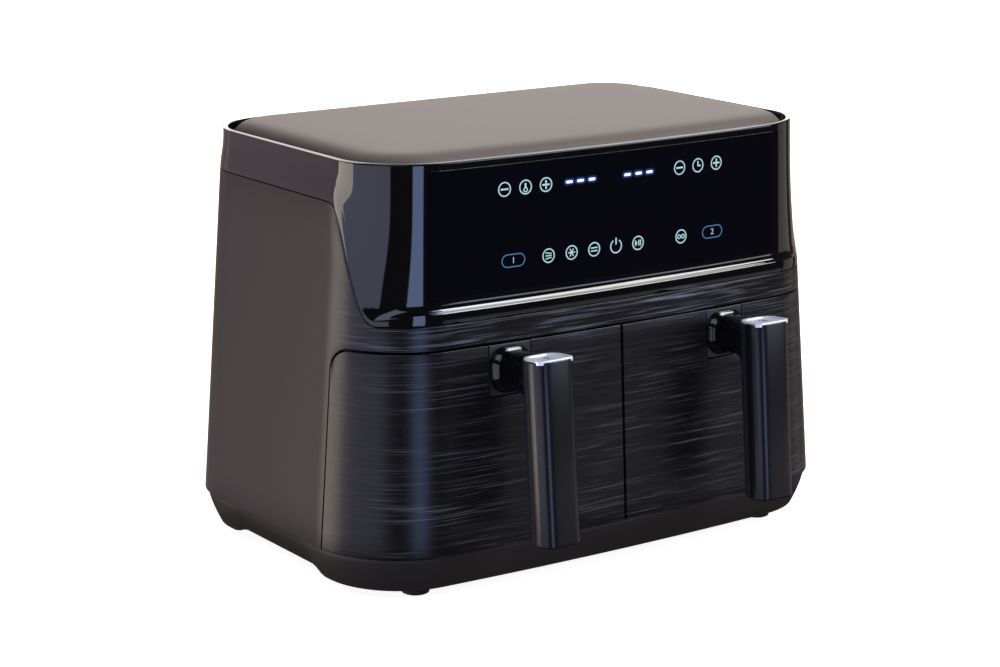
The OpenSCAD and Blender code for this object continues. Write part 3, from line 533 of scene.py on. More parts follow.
def housing_section(station):
    along, angle = station[1], -twin(station)[2]
    e = housing_edge(station)
    foot = e + ledge_lip + ledge_h
    d = ledge_inset(foot)
    z0 = max(panel_z0, foot + 1.5 * mm)
    deep = panel_t if along == -1 and angle > lens_angle(panel_half_w + lens_fit / 2) - 0.01 else 0
    turned = 90 - angle if along == -1 else 90
    soft = min(1, max(0, (turned - melt_start) / melt_turn))
    soft = soft * soft * (3 - 2 * soft)
    hollow = []
    for t in spaced(0, 1, hollow_steps):
        sag = hollow_sag * math.sin(math.pi * t)
        crisp = (e + ledge_lip + ledge_h * (t - sag), 0.3 * mm + (d - 0.3 * mm) * (t + sag))
        level = e + 1.5 * mm + (ledge_lip + ledge_h - 1.5 * mm) * t
        wave = (level, melted(level, e, 1))
        hollow.append(tuple(c + (w - c) * soft for c, w in zip(crisp, wave)))
    lip = [(e + 0.4 * mm, 0), (e + (ledge_lip * 0.5) * (1 - soft) + 0.8 * mm * soft, 0),
           (e + (ledge_lip - 0.3 * mm) * (1 - soft) + 1.2 * mm * soft, 0.04 * mm * (1 - soft))]
    panel = [(z0 - lens_fit, melted(z0 - lens_fit, e, soft)),
             (z0 - lens_fit, melted(z0, e, soft) + deep)]
    panel += [(z, melted(z, e, soft) + deep) for z in spaced(z0 + 0.1 * mm, panel_z1, 12)]
    panel += [(panel_z1 + 0.1 * mm, ledge_inset(panel_z1) + deep),
              (panel_z1 + 0.1 * mm, ledge_inset(panel_z1))]
    outer = ledge_inset(rim_z)
    inner = outer + rim_w
    shelf_in = inner + groove_w + shelf_reach
    shelf_z = rim_z - shelf_drop
    rim = [(rim_z - 1.5 * mm, outer), (rim_z - 0.9 * mm, outer),
           (rim_z - 0.6 * mm, outer + 0.12 * mm), (rim_z - 0.48 * mm, outer + 0.4 * mm),
           (rim_z, inner - 0.4 * mm), (rim_z - 0.15 * mm, inner - 0.05 * mm),
           (rim_z - 0.5 * mm, inner), (shelf_z, inner), (shelf_z, shelf_in),
           (shelf_z - shelf_t, shelf_in), (shelf_z - shelf_t, outer + 3 * mm)]
    foot_back = [(foot + 0.5 * mm, d + 3 * mm), (e, wall), (e, 0.4 * mm),
                 (e + 0.12 * mm, 0.12 * mm)]
    return lip + hollow + panel + rim + foot_back


# Piano-black ABS: almost no colour of its own, and a polish that mirrors the room. A very
# slow ripple, the sink of the moulding, keeps long reflections from being dead straight.
piano_black = textured("piano_black_abs", "#050507", 0.06, 30 * mm, 0.02 * mm, detail=0, IOR=1.52)

lens_edge = lens_angle(panel_half_w + lens_fit)
lens_side = lens_angle(panel_half_w + lens_fit / 2)
housing_corner = spaced(0, 45, 30)[:-1] + spaced(45, lens_edge, 36)
housing_corner += [lens_side] + spaced(lens_side + 1, 90, 8)
housing_mesh = sweep(round_body(housing_corner), housing_section)
add_piece("gloss_housing", housing_mesh, piano_black, "housing", "control_housing",
          crease=32)

# ---- Touch panel ----
# A bowed strip of hard-coated acrylic, back-printed black, glued into the housing's
# recess. The symbols are windows in the print, lit from behind.
lens_acrylic = textured("back_printed_acrylic", "#020208", 0.045, 40 * mm, 0.012 * mm, detail=0,
                        IOR=1.49)
lens_line = [(1, -1, -a) for a in spaced(lens_angle(panel_half_w), 90, 8)][::-1]
lens_half = [(across, -1, -90) for across in spaced(0, 1, 30)[1:-1]] + lens_line
lens_stations = mirrored(lens_half) + [(0, -1, -90)] + lens_half


def lens_section(station):
    soft = 0.03 * mm
    low_in, high_in = ledge_inset(panel_z0), ledge_inset(panel_z1)
    face = [(z, ledge_inset(z)) for z in spaced(panel_z0 + soft, panel_z1 - soft, 6)]
    return face + [(panel_z1, high_in + soft), (panel_z1, high_in + panel_t),
                   (panel_z0, low_in + panel_t), (panel_z0, low_in + soft)]


lens_mesh = sweep(lens_stations, lens_section, ring=False)
add_piece("touch_lens", lens_mesh, lens_acrylic, "housing", "touch_panel")

# ---- Lit symbols ----
# Windows in the print of the touch panel, lit by diodes on the board: rings with simple
# signs, two pills for the drawers, and two rows of display segments.
stroke = 0.78 * mm
ring_r = 4.3 * mm
upper_row_z, lower_row_z = 256.4 * mm, 211 * mm
window_proud = 0.06 * mm


def arc(bm, x, z, radius, width, start=0, turn=360):
    """A flat band along an arc round (x, z); degrees, from the top and clockwise."""
    a = math.radians(start)
    ends = [bm.verts.new((x + r * math.sin(a), 0, z + r * math.cos(a)))
            for r in (radius - width / 2, radius + width / 2)]
    edge = bm.edges.new(ends)
    bmesh.ops.spin(bm, geom=ends + [edge], cent=(x, 0, z), axis=(0, 1, 0), angle=math.radians(turn),
                   steps=max(6, int(abs(turn) / 10)), use_merge=abs(turn) == 360)


def bar(bm, x, z, length, height, turn=0):
    """A flat bar round (x, z), turned clockwise from level."""
    place = (Matrix.Translation((x, 0, z)) @ Matrix.Rotation(math.radians(turn), 4, "Y")
             @ Matrix.Rotation(math.pi / 2, 4, "X") @ Matrix.Diagonal((length, height, 1, 1)))
    bmesh.ops.create_grid(bm, x_segments=4, y_segments=1, size=0.5, matrix=place)


def lay_on_panel(bm, proud):
    """Sets flat windows on the bowed panel and gives them a little thickness."""
    for v in bm.verts:
        x, z = v.co.x, v.co.z
        bow = front_bow * (x / half_w(z)) ** 2
        v.co.y = body_y - half_d(z) + bow + ledge_inset(z) - proud
    bmesh.ops.remove_doubles(bm, verts=bm.verts, dist=0.01 * mm)
    bmesh.ops.recalc_face_normals(bm, faces=bm.faces)
    for face in bm.faces:
        if face.normal.y > 0:
            face.normal_flip()
    bmesh.ops.solidify(bm, geom=bm.faces, thickness=proud)
    bmesh.ops.recalc_face_normals(bm, faces=bm.faces)


def lit_window(name, colour, strength):
    """A printed window with a diode behind it, which glows a little unevenly."""
    glow, tree, shader = new_finish(name, "#101820", 0.3, IOR=1.49,
                                    Emission_Color=linear(colour), Emission_Strength=strength)
    place = add_node(tree, "ShaderNodeTexCoord")
    cloud = add_node(tree, "ShaderNodeTexNoise", {
        "Vector": place.outputs["Object"], "Scale": 260.0})
    even = add_node(tree, "ShaderNodeMapRange", {
        "Value": cloud.outputs["Fac"], "To Min": 0.75 * strength, "To Max": 1.2 * strength})
    tree.links.new(even.outputs[0], shader.inputs["Emission Strength"])
    return glow


def numeral(digit, size, thick):
    """A plain digit, flat in XY about the origin, with a little thickness."""
    letter = bpy.data.curves.new("letter", "FONT")
    letter.body = digit
    letter.size = size
    letter.align_x, letter.align_y = "CENTER", "CENTER"
    letter.extrude = thick / 2
    holder = bpy.data.objects.new("letter", letter)
    scene.collection.objects.link(holder)
    bpy.context.view_layer.update()
    solved = holder.evaluated_get(bpy.context.evaluated_depsgraph_get())
    flat = bpy.data.meshes.new_from_object(solved)
    bpy.data.objects.remove(holder)
    bm = bmesh.new()
    bm.from_mesh(flat)
    bpy.data.meshes.remove(flat)
    return bm


# The strokes of each sign about its middle, in mm: a bar is (x, z, length, height, turn) and a
# ring is (x, z, radius, width).
signs = {
    "minus": [(0, 0, 5.6, 1.1, 0)],
    "plus": [(0, 0, 5.6, 1.1, 0), (0, 1.7, 2.2, 1.1, 90), (0, -1.7, 2.2, 1.1, 90)],
    "clock": [(0, 1.3, 3.0, 0.9, 90), (1.0, -0.3, 2.6, 0.9, 0)],
    "heat": [(0, -1.7, 1.3, 0.7), (0, 1.0, 2.9, 1.3, 90)],
    "power": [(0, 3.3, 4.4, 1.0, 90)],
    "waves": [(0, step, 4.6, 0.7, 6 * step) for step in (-1.6, 0, 1.6)],
    "cold": [(0, 0, 5.6, 0.7, turn) for turn in (0, 60, 120)],
    "list": [(0, step, 5.2, 0.8, 0) for step in (-1.0, 1.0)],
    "play": [(step - 2.1, 0, 3.8 - 2.6 * step, 0.6, 90) for step in (0.0, 0.55, 1.1)]
    + [(step, 0, 3.8, 0.8, 90) for step in (0.6, 2.0)],
    "link": [(-1.6, 0, 1.2, 0.7), (1.6, 0, 1.2, 0.7), (0, 0, 1.4, 0.7, 0)],
}
upper_keys = [(-85.7, "minus"), (-70.2, "heat"), (-54.9, "plus"), (51.5, "minus"),
              (67.1, "clock"), (83.0, "plus")]
lower_keys = [(-53.2, "waves"), (-35.5, "cold"), (-17.9, "list"), (-0.5, "power"),
              (17.3, "play"), (53.1, "link")]
# Half the angle of the gap at the top of the power sign's ring.
power_gap = 32
white_mesh = bmesh.new()
for row_z, keys in ((upper_row_z, upper_keys), (lower_row_z, lower_keys)):
    for x, sign in keys:
        gap = power_gap if sign == "power" else 0
        arc(white_mesh, x * mm, row_z, ring_r, stroke, gap, 360 - 2 * gap)
        for right, up, *sizes in signs[sign]:
            draw = arc if len(sizes) == 2 else bar
            draw(white_mesh, (x + right) * mm, row_z + up * mm, sizes[0] * mm, sizes[1] * mm,
                 *sizes[2:])
lay_on_panel(white_mesh, window_proud)
add_piece("lit_symbols", white_mesh, lit_window("ice_blue_window", "#bfeaf2", 0.85), "housing")

pill_l, pill_h, pill_stroke = 16.8 * mm, 7.9 * mm, stroke * 0.8
drawer_keys = [(-79.6 * mm, "1"), (80.0 * mm, "2")]
pill_mesh = bmesh.new()
for x, _ in drawer_keys:
    for side in (-1, 1):
        arc(pill_mesh, x + side * (pill_l - pill_h) / 2, lower_row_z, pill_h / 2, pill_stroke,
            90 * side - 90, 180)
        bar(pill_mesh, x, lower_row_z + side * pill_h / 2, pill_l - pill_h, pill_stroke)
lay_on_panel(pill_mesh, window_proud)
add_piece("lit_pills", pill_mesh, lit_window("blue_window", "#4f8fc0", 0.7), "housing")

digit_size, digit_t, digit_proud = 5.6 * mm, 0.1 * mm, 0.08 * mm
digit_mesh = bmesh.new()
panel_lean = math.atan(end_lean / (rim_z - seam_z) - ledge_rate)
for x, digit in drawer_keys:
    figure = numeral(digit, digit_size, digit_t)
    bow_slope = math.atan(2 * front_bow * x / half_w(lower_row_z) ** 2)
    bow = front_bow * (x / half_w(lower_row_z)) ** 2
    face_y = body_y - half_d(lower_row_z) + bow + ledge_inset(lower_row_z)
    turn = Matrix.Rotation(bow_slope, 4, "Z") @ Matrix.Rotation(math.pi / 2 - panel_lean, 4, "X")
    stand = Matrix.Translation((x, face_y - digit_proud, lower_row_z)) @ turn
    bmesh.ops.transform(figure, matrix=stand, verts=figure.verts)
    pour(figure, digit_mesh)
add_piece("lit_digits", digit_mesh, lit_window("pale_blue_window", "#9fdcf0", 0.8), "housing")

# The segments glow in three layers: a wide spill, a halo and the segment itself on top.
segment_rows = [("segment_spill", 8.6, 4.6, 1, "dim_blue_spill", "#001040", 0.8),
                ("segment_halos", 6.6, 2.8, 2, "deep_blue_spill", "#0044c8", 0.8),
                ("display_segments", 5.2, 1.7, 3, "blue_white_segment", "#dfe8ff", 1.7)]
for name, length, height, layer, glow_name, colour, strength in segment_rows:
    row_mesh = bmesh.new()
    for x in (-37.2, -28.6, -19.7, 8.5, 17.5, 26.4):
        bar(row_mesh, x * mm, upper_row_z, (length - height) * mm, height * mm)
        for side in (-1, 1):
            arc(row_mesh, (x + side * (length - height) / 2) * mm, upper_row_z,
                height / 4 * mm, height / 2 * mm, 90 * side - 90, 180)
    lay_on_panel(row_mesh, layer * window_proud)
    add_piece(name, row_mesh, lit_window(glow_name, colour, strength), "housing")

# ---- Top cover ----
# The lid over the works: ABS sprayed with a soft taupe satin lacquer. It is crowned, and
# its edge drops into a groove inside the rim of the housing.
lid_edge = ledge_least + rim_w + groove_w
lid_crown_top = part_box("top_cover")[1].z - rim_z
lid_drop = 3.4 * mm
# The crown is level from this far in, and falls to the edge as this power of the way out.
lid_level_in, lid_power = 42 * mm, 6


def lid_section(station):
    crown = []
    for share in graded(0, 1, 22):
        inset = lid_edge + (lid_level_in - lid_edge) * share
        height = lid_crown_top - (lid_crown_top + lid_drop) * (1 - share) ** lid_power
        crown.append((rim_z + height, inset, rim_z))
    shelf_z = rim_z - shelf_drop
    under = [(shelf_z, lid_level_in - 2 * mm, rim_z), (shelf_z, lid_edge + 3 * mm, rim_z),
             (shelf_z, lid_edge + 0.3 * mm, rim_z), (shelf_z + 0.4 * mm, lid_edge, rim_z)]
    return under + crown


# Sprayed satin lacquer: warm taupe with a faint orange peel a millimetre or so across, and a
# faint mottle with it that keeps the wide flat top from looking like paper.
satin_lacquer = textured("taupe_satin_lacquer", "#8d8278", 0.55, 1.1 * mm, 0.01 * mm,
                         ("#5f554d", "#6b6158"), IOR=1.48, Specular_IOR_Level=0.2)
lid_mesh = sweep(round_body(plain_corner), lid_section, tube=False)
add_piece("crowned_lid", lid_mesh, satin_lacquer, "housing", "top_cover")

# ---- Drawer fronts ----
# One curved moulding per drawer, with the same brushed film as the shell. The upper rear
# corner is rounded, and a notch at the top takes the smooth plate behind the handle.
drawer_low_z = seam_z + 0.5 * mm
front_wall = 3 * mm
cap_low, cap_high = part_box("right_handle_cap")
handle_x = (cap_low.x + cap_high.x) / 2
plate_half_w = 15.2 * mm
plate_z0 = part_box("right_handle_plate")[0].z
plate_gap = 0.7 * mm
drawer_corner = graded(wrap_angle + 0.04, 27, 34) + spaced(28.4, 90, 44)


def across_at(x):
    """Share of the flat front at which the front stands x from the middle, at the plate."""
    z = (plate_z0 + drawer_top_z) / 2
    return x / (half_w(z) - corner_r(z))


notch = [across_at(handle_x + side * (plate_half_w + plate_gap)) for side in (-1, 1)]
# The notch's two sides stand between stations this far apart, so they come out upright.
notch_step = 0.0004


def drawer_section(station):
    across = abs(station[0])
    inside = notch[0] + notch_step / 2 < across < notch[1] - notch_step / 2
    top = plate_z0 - plate_gap if inside and station[2] == -90 else drawer_edge(station)
    return lipped(drawer_low_z, top, front_wall)


drawer_line = spaced(0.008, notch[0], 24)
drawer_line += spaced(notch[0] + notch_step, notch[1] - notch_step, 12)
drawer_line += spaced(notch[1], 1, 12)[:-1]
drawer_stations = [(across, -1, -90) for across in drawer_line]
drawer_stations += [(1, -1, -a) for a in sorted(drawer_corner, reverse=True)]
for side in ("left", "right"):
    line = drawer_stations if side == "right" else mirrored(drawer_stations)
    front_mesh = sweep(line, lambda st: drawer_section(twin(st)), ring=False)
    add_piece(f"{side}_front_moulding", front_mesh, brushed_film, f"{side}_drawer",
              f"{side}_drawer_front")

# ---- Handle plates ----
# A smooth satin ABS insert in the notch of each drawer front. The handle's neck is
# screwed through it from behind.
satin_abs = textured("satin_black_abs", "#1b1b22", 0.34, 0.6 * mm, 0.004 * mm, IOR=1.52)


def plate_section(station):
    return lipped(plate_z0, drawer_top_z - 0.2 * mm, front_wall, 0.4 * mm, 4)


plate_line = [(across_at(x), -1, -90)
              for x in spaced(handle_x - plate_half_w, handle_x + plate_half_w, 10)]
for side in ("left", "right"):
    line = plate_line if side == "right" else mirrored(plate_line)
    plate_mesh = sweep(line, plate_section, ring=False)
    add_piece(f"{side}_plate_insert", plate_mesh, satin_abs, f"{side}_drawer",
              f"{side}_handle_plate")

# ---- Handle grips ----
# Each upright grip is two gloss mouldings snapped together: a full-round core behind and
# a cover in front with tight corners, split by a hairline along the side.
grip_w, grip_d = 29 * mm, 25 * mm
grip_z0, grip_z1 = 42 * mm, 160 * mm
grip_splay = 10 * mm
grip_tilt = math.atan(grip_splay / (grip_z1 - grip_z0))
grip_y0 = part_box("right_handle_cover")[0].y + grip_d / 2 * math.cos(grip_tilt)
grip_len = grip_z1 - grip_z0
split_y = grip_d * 0.05
split_gap = 0.35 * mm
# Polished but not mirror-like ABS: hands dull it a little, so reflections have soft ends.
polished_abs = textured("hand_polished_abs", "#0a0a0f", 0.28, 0.5 * mm, 0.002 * mm, IOR=1.44)


def round_off(bm, geom, r, segments, affect="EDGES", **more):
    """Rounds edges, or the corners of a flat face, to a radius."""
    bmesh.ops.bevel(bm, geom=geom, offset=r, offset_type="OFFSET", segments=segments,
                    profile=0.5, affect=affect, material=-1, **more)


def raise_up(bm, height):
    """Draws a flat face straight up into a bar."""
    made = bmesh.ops.extrude_face_region(bm, geom=list(bm.faces))["geom"]
    bmesh.ops.translate(bm, vec=(0, 0, height),
                        verts=[g for g in made if isinstance(g, bmesh.types.BMVert)])


def set_on_grip(bm, x_side):
    """Places a piece drawn round the grip's foot on the left (-1) or right (1) handle."""
    place = Matrix.Translation((x_side * handle_x, grip_y0, grip_z0))
    bmesh.ops.transform(bm, matrix=place @ Matrix.Rotation(-grip_tilt, 4, "X"), verts=bm.verts)


def grip_bar(y0, y1, front_r, back_r, height, crown=0.0, grow=0.0, foot_r=3.4 * mm, top_r=0.7 * mm):
    """An upright bar with rounded upright corners, a crowned front and rounded ends."""
    bm = bmesh.new()
    w = grip_w / 2 + grow
    corners = [bm.verts.new((x, y, 0)) for x, y in ((-w, y0), (w, y0), (w, y1), (-w, y1))]
    bm.faces.new(corners)
    for pair, r in ((corners[:2], front_r), (corners[2:], back_r)):
        if r:
            round_off(bm, pair, r, 7, "VERTICES")
    level = [e for e in bm.edges if all(abs(v.co.y - y0) < 1e-6 for v in e.verts)]
    bmesh.ops.subdivide_edges(bm, edges=level, cuts=9)
    for v in bm.verts:
        if v.co.y < (y0 + y1) / 2:
            v.co.y += crown * (v.co.x / w) ** 2
    raise_up(bm, height)
    bmesh.ops.recalc_face_normals(bm, faces=bm.faces)
    for z, r, count in ((0, foot_r, 6), (height, top_r, 3)):
        if r:
            rim = [e for e in bm.edges if all(abs(v.co.z - z) < 1e-6 for v in e.verts)]
            round_off(bm, rim, r, count, clamp_overlap=True)
    return bm


cap_seat = 1.2 * mm
for side, sign in (("left", -1), ("right", 1)):
    cover_mesh = grip_bar(-grip_d / 2, split_y - split_gap, 7.5 * mm, 0, grip_len - cap_seat,
                          crown=1.3 * mm, foot_r=4.2 * mm)
    set_on_grip(cover_mesh, sign)
    add_piece(f"{side}_grip_cover", cover_mesh, polished_abs, f"{side}_drawer",
              f"{side}_handle_cover")
    core_mesh = grip_bar(split_y, grip_d / 2, 0, 10 * mm, grip_len - cap_seat)
    set_on_grip(core_mesh, sign)
    add_piece(f"{side}_grip_core", core_mesh, satin_abs, f"{side}_drawer",
              f"{side}_handle_core")

# ---- Handle necks ----
# A short rounded-square neck carries each grip. It flares into a bright-edged flange at
# the plate, and its underside runs down into the back of the grip in a fillet.
neck_w, neck_h, neck_corner_r = 28 * mm, 27 * mm, 10.5 * mm
neck_z = 144 * mm
front_tilt = math.atan(end_lean / (rim_z - seam_z))
neck_root_y = body_y - half_d(neck_z) + front_bow * (handle_x / half_w(neck_z)) ** 2
grip_back_y = grip_y0 + math.sin(grip_tilt) * (neck_z - grip_z0) + grip_d / 2
# The neck ends this far inside the grip.
neck_bury = 9 * mm
neck_reach = neck_root_y - grip_back_y + neck_bury
flange_rim, neck_waist = 1.4 * mm, -1.4 * mm
fillet_r = 8 * mm
# Rings from the plate outwards: distance, and how far each stands past the neck's outline.
flange_rings = [(0.8 * mm, flange_rim), (1.8 * mm, flange_rim - 0.2 * mm),
                (2.8 * mm, flange_rim - 0.6 * mm), (3.7 * mm, flange_rim - 1.15 * mm),
                (4.4 * mm, flange_rim - 1.8 * mm), (5.0 * mm, -1.1 * mm), (6.2 * mm, -1.5 * mm),
                (8.0 * mm, -1.5 * mm), (10.0 * mm, neck_waist)]


def neck(x_side):
    """Rounded-square rings from the plate outwards, the last ones drawn down into the grip."""
    bm = bmesh.new()
    w, h = neck_w / 2, neck_h / 2
    corners = [bm.verts.new((x, 0, z)) for x, z in ((-w, -h), (w, -h), (w, h), (-w, h))]
    bm.faces.new(corners)
    round_off(bm, bm.verts[:], neck_corner_r, 8, "VERTICES")
    bmesh.ops.delete(bm, geom=bm.faces[:], context="FACES_ONLY")
    number = bm.verts.layers.int.new("spot")
    plan = [v.co.copy() for v in bm.verts]
    for i, v in enumerate(bm.verts):
        v[number] = i
        v.co = plan[i] * (1 + flange_rim / w)
    steps = [(out, grow, 0) for out, grow in flange_rings]
    start = neck_reach - neck_bury - fillet_r
    for t in spaced(0, math.pi / 2, 8):
        steps.append((start + fillet_r * math.sin(t), neck_waist, fillet_r * (1 - math.cos(t))))
    steps.append((neck_reach, neck_waist, fillet_r))
    edges = bm.edges[:]
    for out, grow, drop in steps:
        fresh, edges = extend(bm, edges)
        for v in fresh:
            here = plan[v[number]] * (1 + grow / w)
            share = min(1, max(0, (h * 0.2 - here.z) / (h * 1.2)))
            narrow = 1 - 0.12 * share * drop / fillet_r
            v.co = Vector((here.x * narrow, -out, here.z - drop * share ** 1.5))
    close(bm)
    place = Matrix.Translation((x_side * handle_x, neck_root_y, neck_z))
    bmesh.ops.transform(bm, matrix=place @ Matrix.Rotation(-front_tilt, 4, "X"), verts=bm.verts)
    return bm


for side, sign in (("left", -1), ("right", 1)):
    add_piece(f"{side}_neck_moulding", neck(sign), piano_black, f"{side}_drawer",
              f"{side}_handle_neck", crease=50)

# ---- Handle caps ----
# A bright cap closes the top of each grip: die-cast zinc, satin chrome plated, with a
# dished middle that carries the drawer's number in black.
# Drawn only partly metallic, so that its blasted face stays pale where the room is dark.
satin_chrome = textured("satin_chrome_plate", "#e2e2ea", 0.3, 0.5 * mm, 0.002 * mm, Metallic=0.4)
black_ink = textured("pad_printed_ink", "#0a0a0c", 0.5, 0.3 * mm, 0.004 * mm, IOR=1.5)
cap_h = 2.6 * mm
cap_margin = 1.0 * mm
# Steps of the dish from the edge inwards: depth and width.
dish_steps = [(0, 0.5 * mm), (-0.25 * mm, 1.5 * mm), (-0.5 * mm, 0.35 * mm), (-0.1 * mm, 2.5 * mm)]
number_size, number_t, number_sunk = 8 * mm, 0.2 * mm, 0.75 * mm


def cap(x_side):
    bm = grip_bar(-grip_d / 2 + cap_margin, grip_d / 2 - cap_margin, 3.4 * mm, 9 * mm, cap_h,
                  crown=0.8 * mm, grow=-cap_margin, foot_r=0, top_r=0)
    top = [f for f in bm.faces if f.normal.z > 0.9]
    for depth, width in dish_steps:
        bmesh.ops.inset_region(bm, faces=top, thickness=width, depth=depth)
    rim = [e for e in bm.edges
           if all(abs(v.co.z - cap_h) < 1e-6 for v in e.verts) and e.calc_face_angle(0) > 0.8]
    round_off(bm, rim, 0.35 * mm, 2)
    bmesh.ops.translate(bm, vec=(0, 0, grip_len - cap_h), verts=bm.verts)
    set_on_grip(bm, x_side)
    return bm


for side, sign, digit in (("left", -1, "1"), ("right", 1, "2")):
    add_piece(f"{side}_cap_plate", cap(sign), satin_chrome, f"{side}_drawer",
              f"{side}_handle_cap", crease=30)
    ink_mesh = numeral(digit, number_size, number_t)
    bmesh.ops.translate(ink_mesh, vec=(0, 0, grip_len - number_sunk), verts=ink_mesh.verts)
    set_on_grip(ink_mesh, sign)
    add_piece(f"{side}_cap_numeral", ink_mesh, black_ink, f"{side}_drawer")

# ---- Rear panel ----
# A flat sheet of steel, sprayed dark and stoved, closes the back between the shell's two
# ends. Its cut edges are dulled, and it has windows for the grilles and the cable.
bodies = {node: body for body, nodes in frame["record"]["behaviour"]["bodies"].items()
          for node in nodes}


def eased(node, made_as, finish, ease=0.3 * mm, crease=35):
    """A piece whose shape is the design's own, with merged faces and its sharp edges eased."""
    bm = bmesh.new()
    bm.from_mesh(frame["nodes"][node].data)
    bmesh.ops.remove_doubles(bm, verts=bm.verts, dist=0.001 * mm)
    bmesh.ops.dissolve_limit(bm, angle_limit=math.radians(1), verts=bm.verts, edges=bm.edges)
    sharp = [e for e in bm.edges
             if len(e.link_faces) == 2 and e.calc_face_angle(0) > math.radians(crease)]
    round_off(bm, sharp, ease, 2, clamp_overlap=True)
    add_piece(f"{node}_{made_as}", bm, finish, bodies[node], node, crease)


# Stoved enamel: dark warm grey, satin, with an orange peel about 2 mm across.
stoved_enamel = textured("stoved_enamel", "#2c2724", 0.4, 2 * mm, 0.012 * mm,
                         ("#28231f", "#322c28"), IOR=1.5)
eased("rear_panel", "sheet", stoved_enamel, 0.25 * mm)

# ---- Rear grilles ----
# Two louvred inserts of moulded ABS snap into the rear panel and let the hot air out.
# The bars have rounded edges, as every rib has that must leave its mould.
moulded_abs = textured("moulded_black_abs", "#161517", 0.45, 0.5 * mm, 0.012 * mm,
                       ("#121113", "#1c1b1d"), IOR=1.53)
eased("rear_grilles", "moulding", moulded_abs, 0.5 * mm)

# ---- Cable inlet ----
# A flanged gland of soft PVC through the rear panel; the mains lead passes through it.
soft_pvc = textured("soft_black_pvc", "#121213", 0.5, 0.7 * mm, 0.02 * mm, IOR=1.54)
eased("cable_inlet", "gland", soft_pvc, 0.8 * mm)

# ---- Front frame ----
# The inner bulkhead of moulded ABS that the drawers slide through, ribbed to the shell.
eased("front_frame", "bulkhead", moulded_abs, 0.4 * mm)

# ---- Drawer backings ----
# A hollow moulding of ABS behind each drawer front keeps the hot pan away from it; its
# two pillars take the screws of the handle.
for side in ("left", "right"):
    eased(f"{side}_drawer_backing", "moulding", moulded_abs, 0.5 * mm)

# ---- Pans ----
# Each pan is drawn from steel sheet and sprayed inside and out with a PTFE nonstick coat.
# Its floor turns up into the walls in a generous radius, and the rim is rolled smooth.
# Mineral flecks of a millimetre or so show as paler dots in the dark coat.
nonstick_coat = textured("ptfe_nonstick_coat", "#232327", 0.36, 1.3 * mm, 0.012 * mm,
                         ("#1b1b1e", "#2f2f34"), IOR=1.42)
pan_r, pan_sheet, pan_floor_r = 18 * mm, 1.5 * mm, 6 * mm


def drawn_pan(low, high):
    bm = bmesh.new()
    plan = ((low.x, low.y), (high.x, low.y), (high.x, high.y), (low.x, high.y))
    bm.faces.new([bm.verts.new((x, y, low.z)) for x, y in plan])
    round_off(bm, bm.verts[:], pan_r, 12, "VERTICES")
    raise_up(bm, high.z - low.z)
    lid_faces = [f for f in bm.faces if all(v.co.z > high.z - 1e-6 for v in f.verts)]
    bmesh.ops.delete(bm, geom=lid_faces, context="FACES_ONLY")
    foot = [e for e in bm.edges if all(v.co.z < low.z + 1e-6 for v in e.verts)]
    round_off(bm, foot, pan_floor_r, 6)
    bmesh.ops.recalc_face_normals(bm, faces=bm.faces)
    if max(bm.faces, key=lambda f: f.calc_area()).normal.z > 0:
        bmesh.ops.reverse_faces(bm, faces=bm.faces)
    bmesh.ops.solidify(bm, geom=bm.faces, thickness=pan_sheet)
    bmesh.ops.recalc_face_normals(bm, faces=bm.faces)
    rim = [e for e in bm.edges
           if all(v.co.z > high.z - 1e-5 for v in e.verts) and e.calc_face_angle(0) > 0.8]
    round_off(bm, rim, 0.45 * pan_sheet, 3)
    return bm


for side in ("left", "right"):
    add_piece(f"{side}_drawn_pan", drawn_pan(*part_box(f"{side}_pan")), nonstick_coat,
              f"{side}_drawer", f"{side}_pan")

# ---- Crisper plates ----
# A punched steel plate with the same coat as the pan lifts the food off its floor, and
# stands on four plugs of red silicone that push up through its corners.
silicone = textured("red_silicone", "#7a2a25", 0.5, 0.8 * mm, 0.01 * mm, IOR=1.41)
for side in ("left", "right"):
    eased(f"{side}_crisper_plate", "pressing", nonstick_coat, 0.4 * mm)
    eased(f"{side}_plate_feet", "plugs", silicone, 0.9 * mm)

# ---- Cavity liners ----
# Each drawer slides in a box folded from aluminised sheet. A dished reflector is spot
# welded over the round hole in its ceiling.
# Rolling lines 0.4 mm apart run from front to back.
mill_aluminium = textured("mill_finish_aluminium", "#a8a8ab", 0.34, 0.4 * mm, 0.004 * mm,
                          ("#9a9a9d", "#b2b2b5"), stretch=(1, 60, 1), Metallic=1.0)
for side in ("left", "right"):
    eased(f"{side}_cavity_liner", "folding", mill_aluminium, 0.3 * mm)
    eased(f"{side}_heat_reflector", "spinning", mill_aluminium, 0.25 * mm)

# ---- Heating elements ----
# Two rings of tube per drawer, a nickel alloy packed with magnesia round the wire. The
# first heat turns it straw, brown and blue in patches.
heated_tube = textured("heat_tinted_nickel_alloy", "#544b46", 0.42, 9 * mm, 0.01 * mm,
                       ("#3f3c46", "#6b5a4a"), Metallic=1.0)
for side in ("left", "right"):
    eased(f"{side}_heating_element", "tubes", heated_tube, 0.15 * mm, 50)

# ---- Fans and motors ----
# A motor above each drawer turns one ground steel shaft: pressed aluminium blades below
# move the hot air, and a wider wheel above cools the motor.
motor_lacquer = textured("baked_motor_lacquer", "#4d4f54", 0.38, 1.5 * mm, 0.02 * mm,
                         ("#46484d", "#57595e"), IOR=1.5)
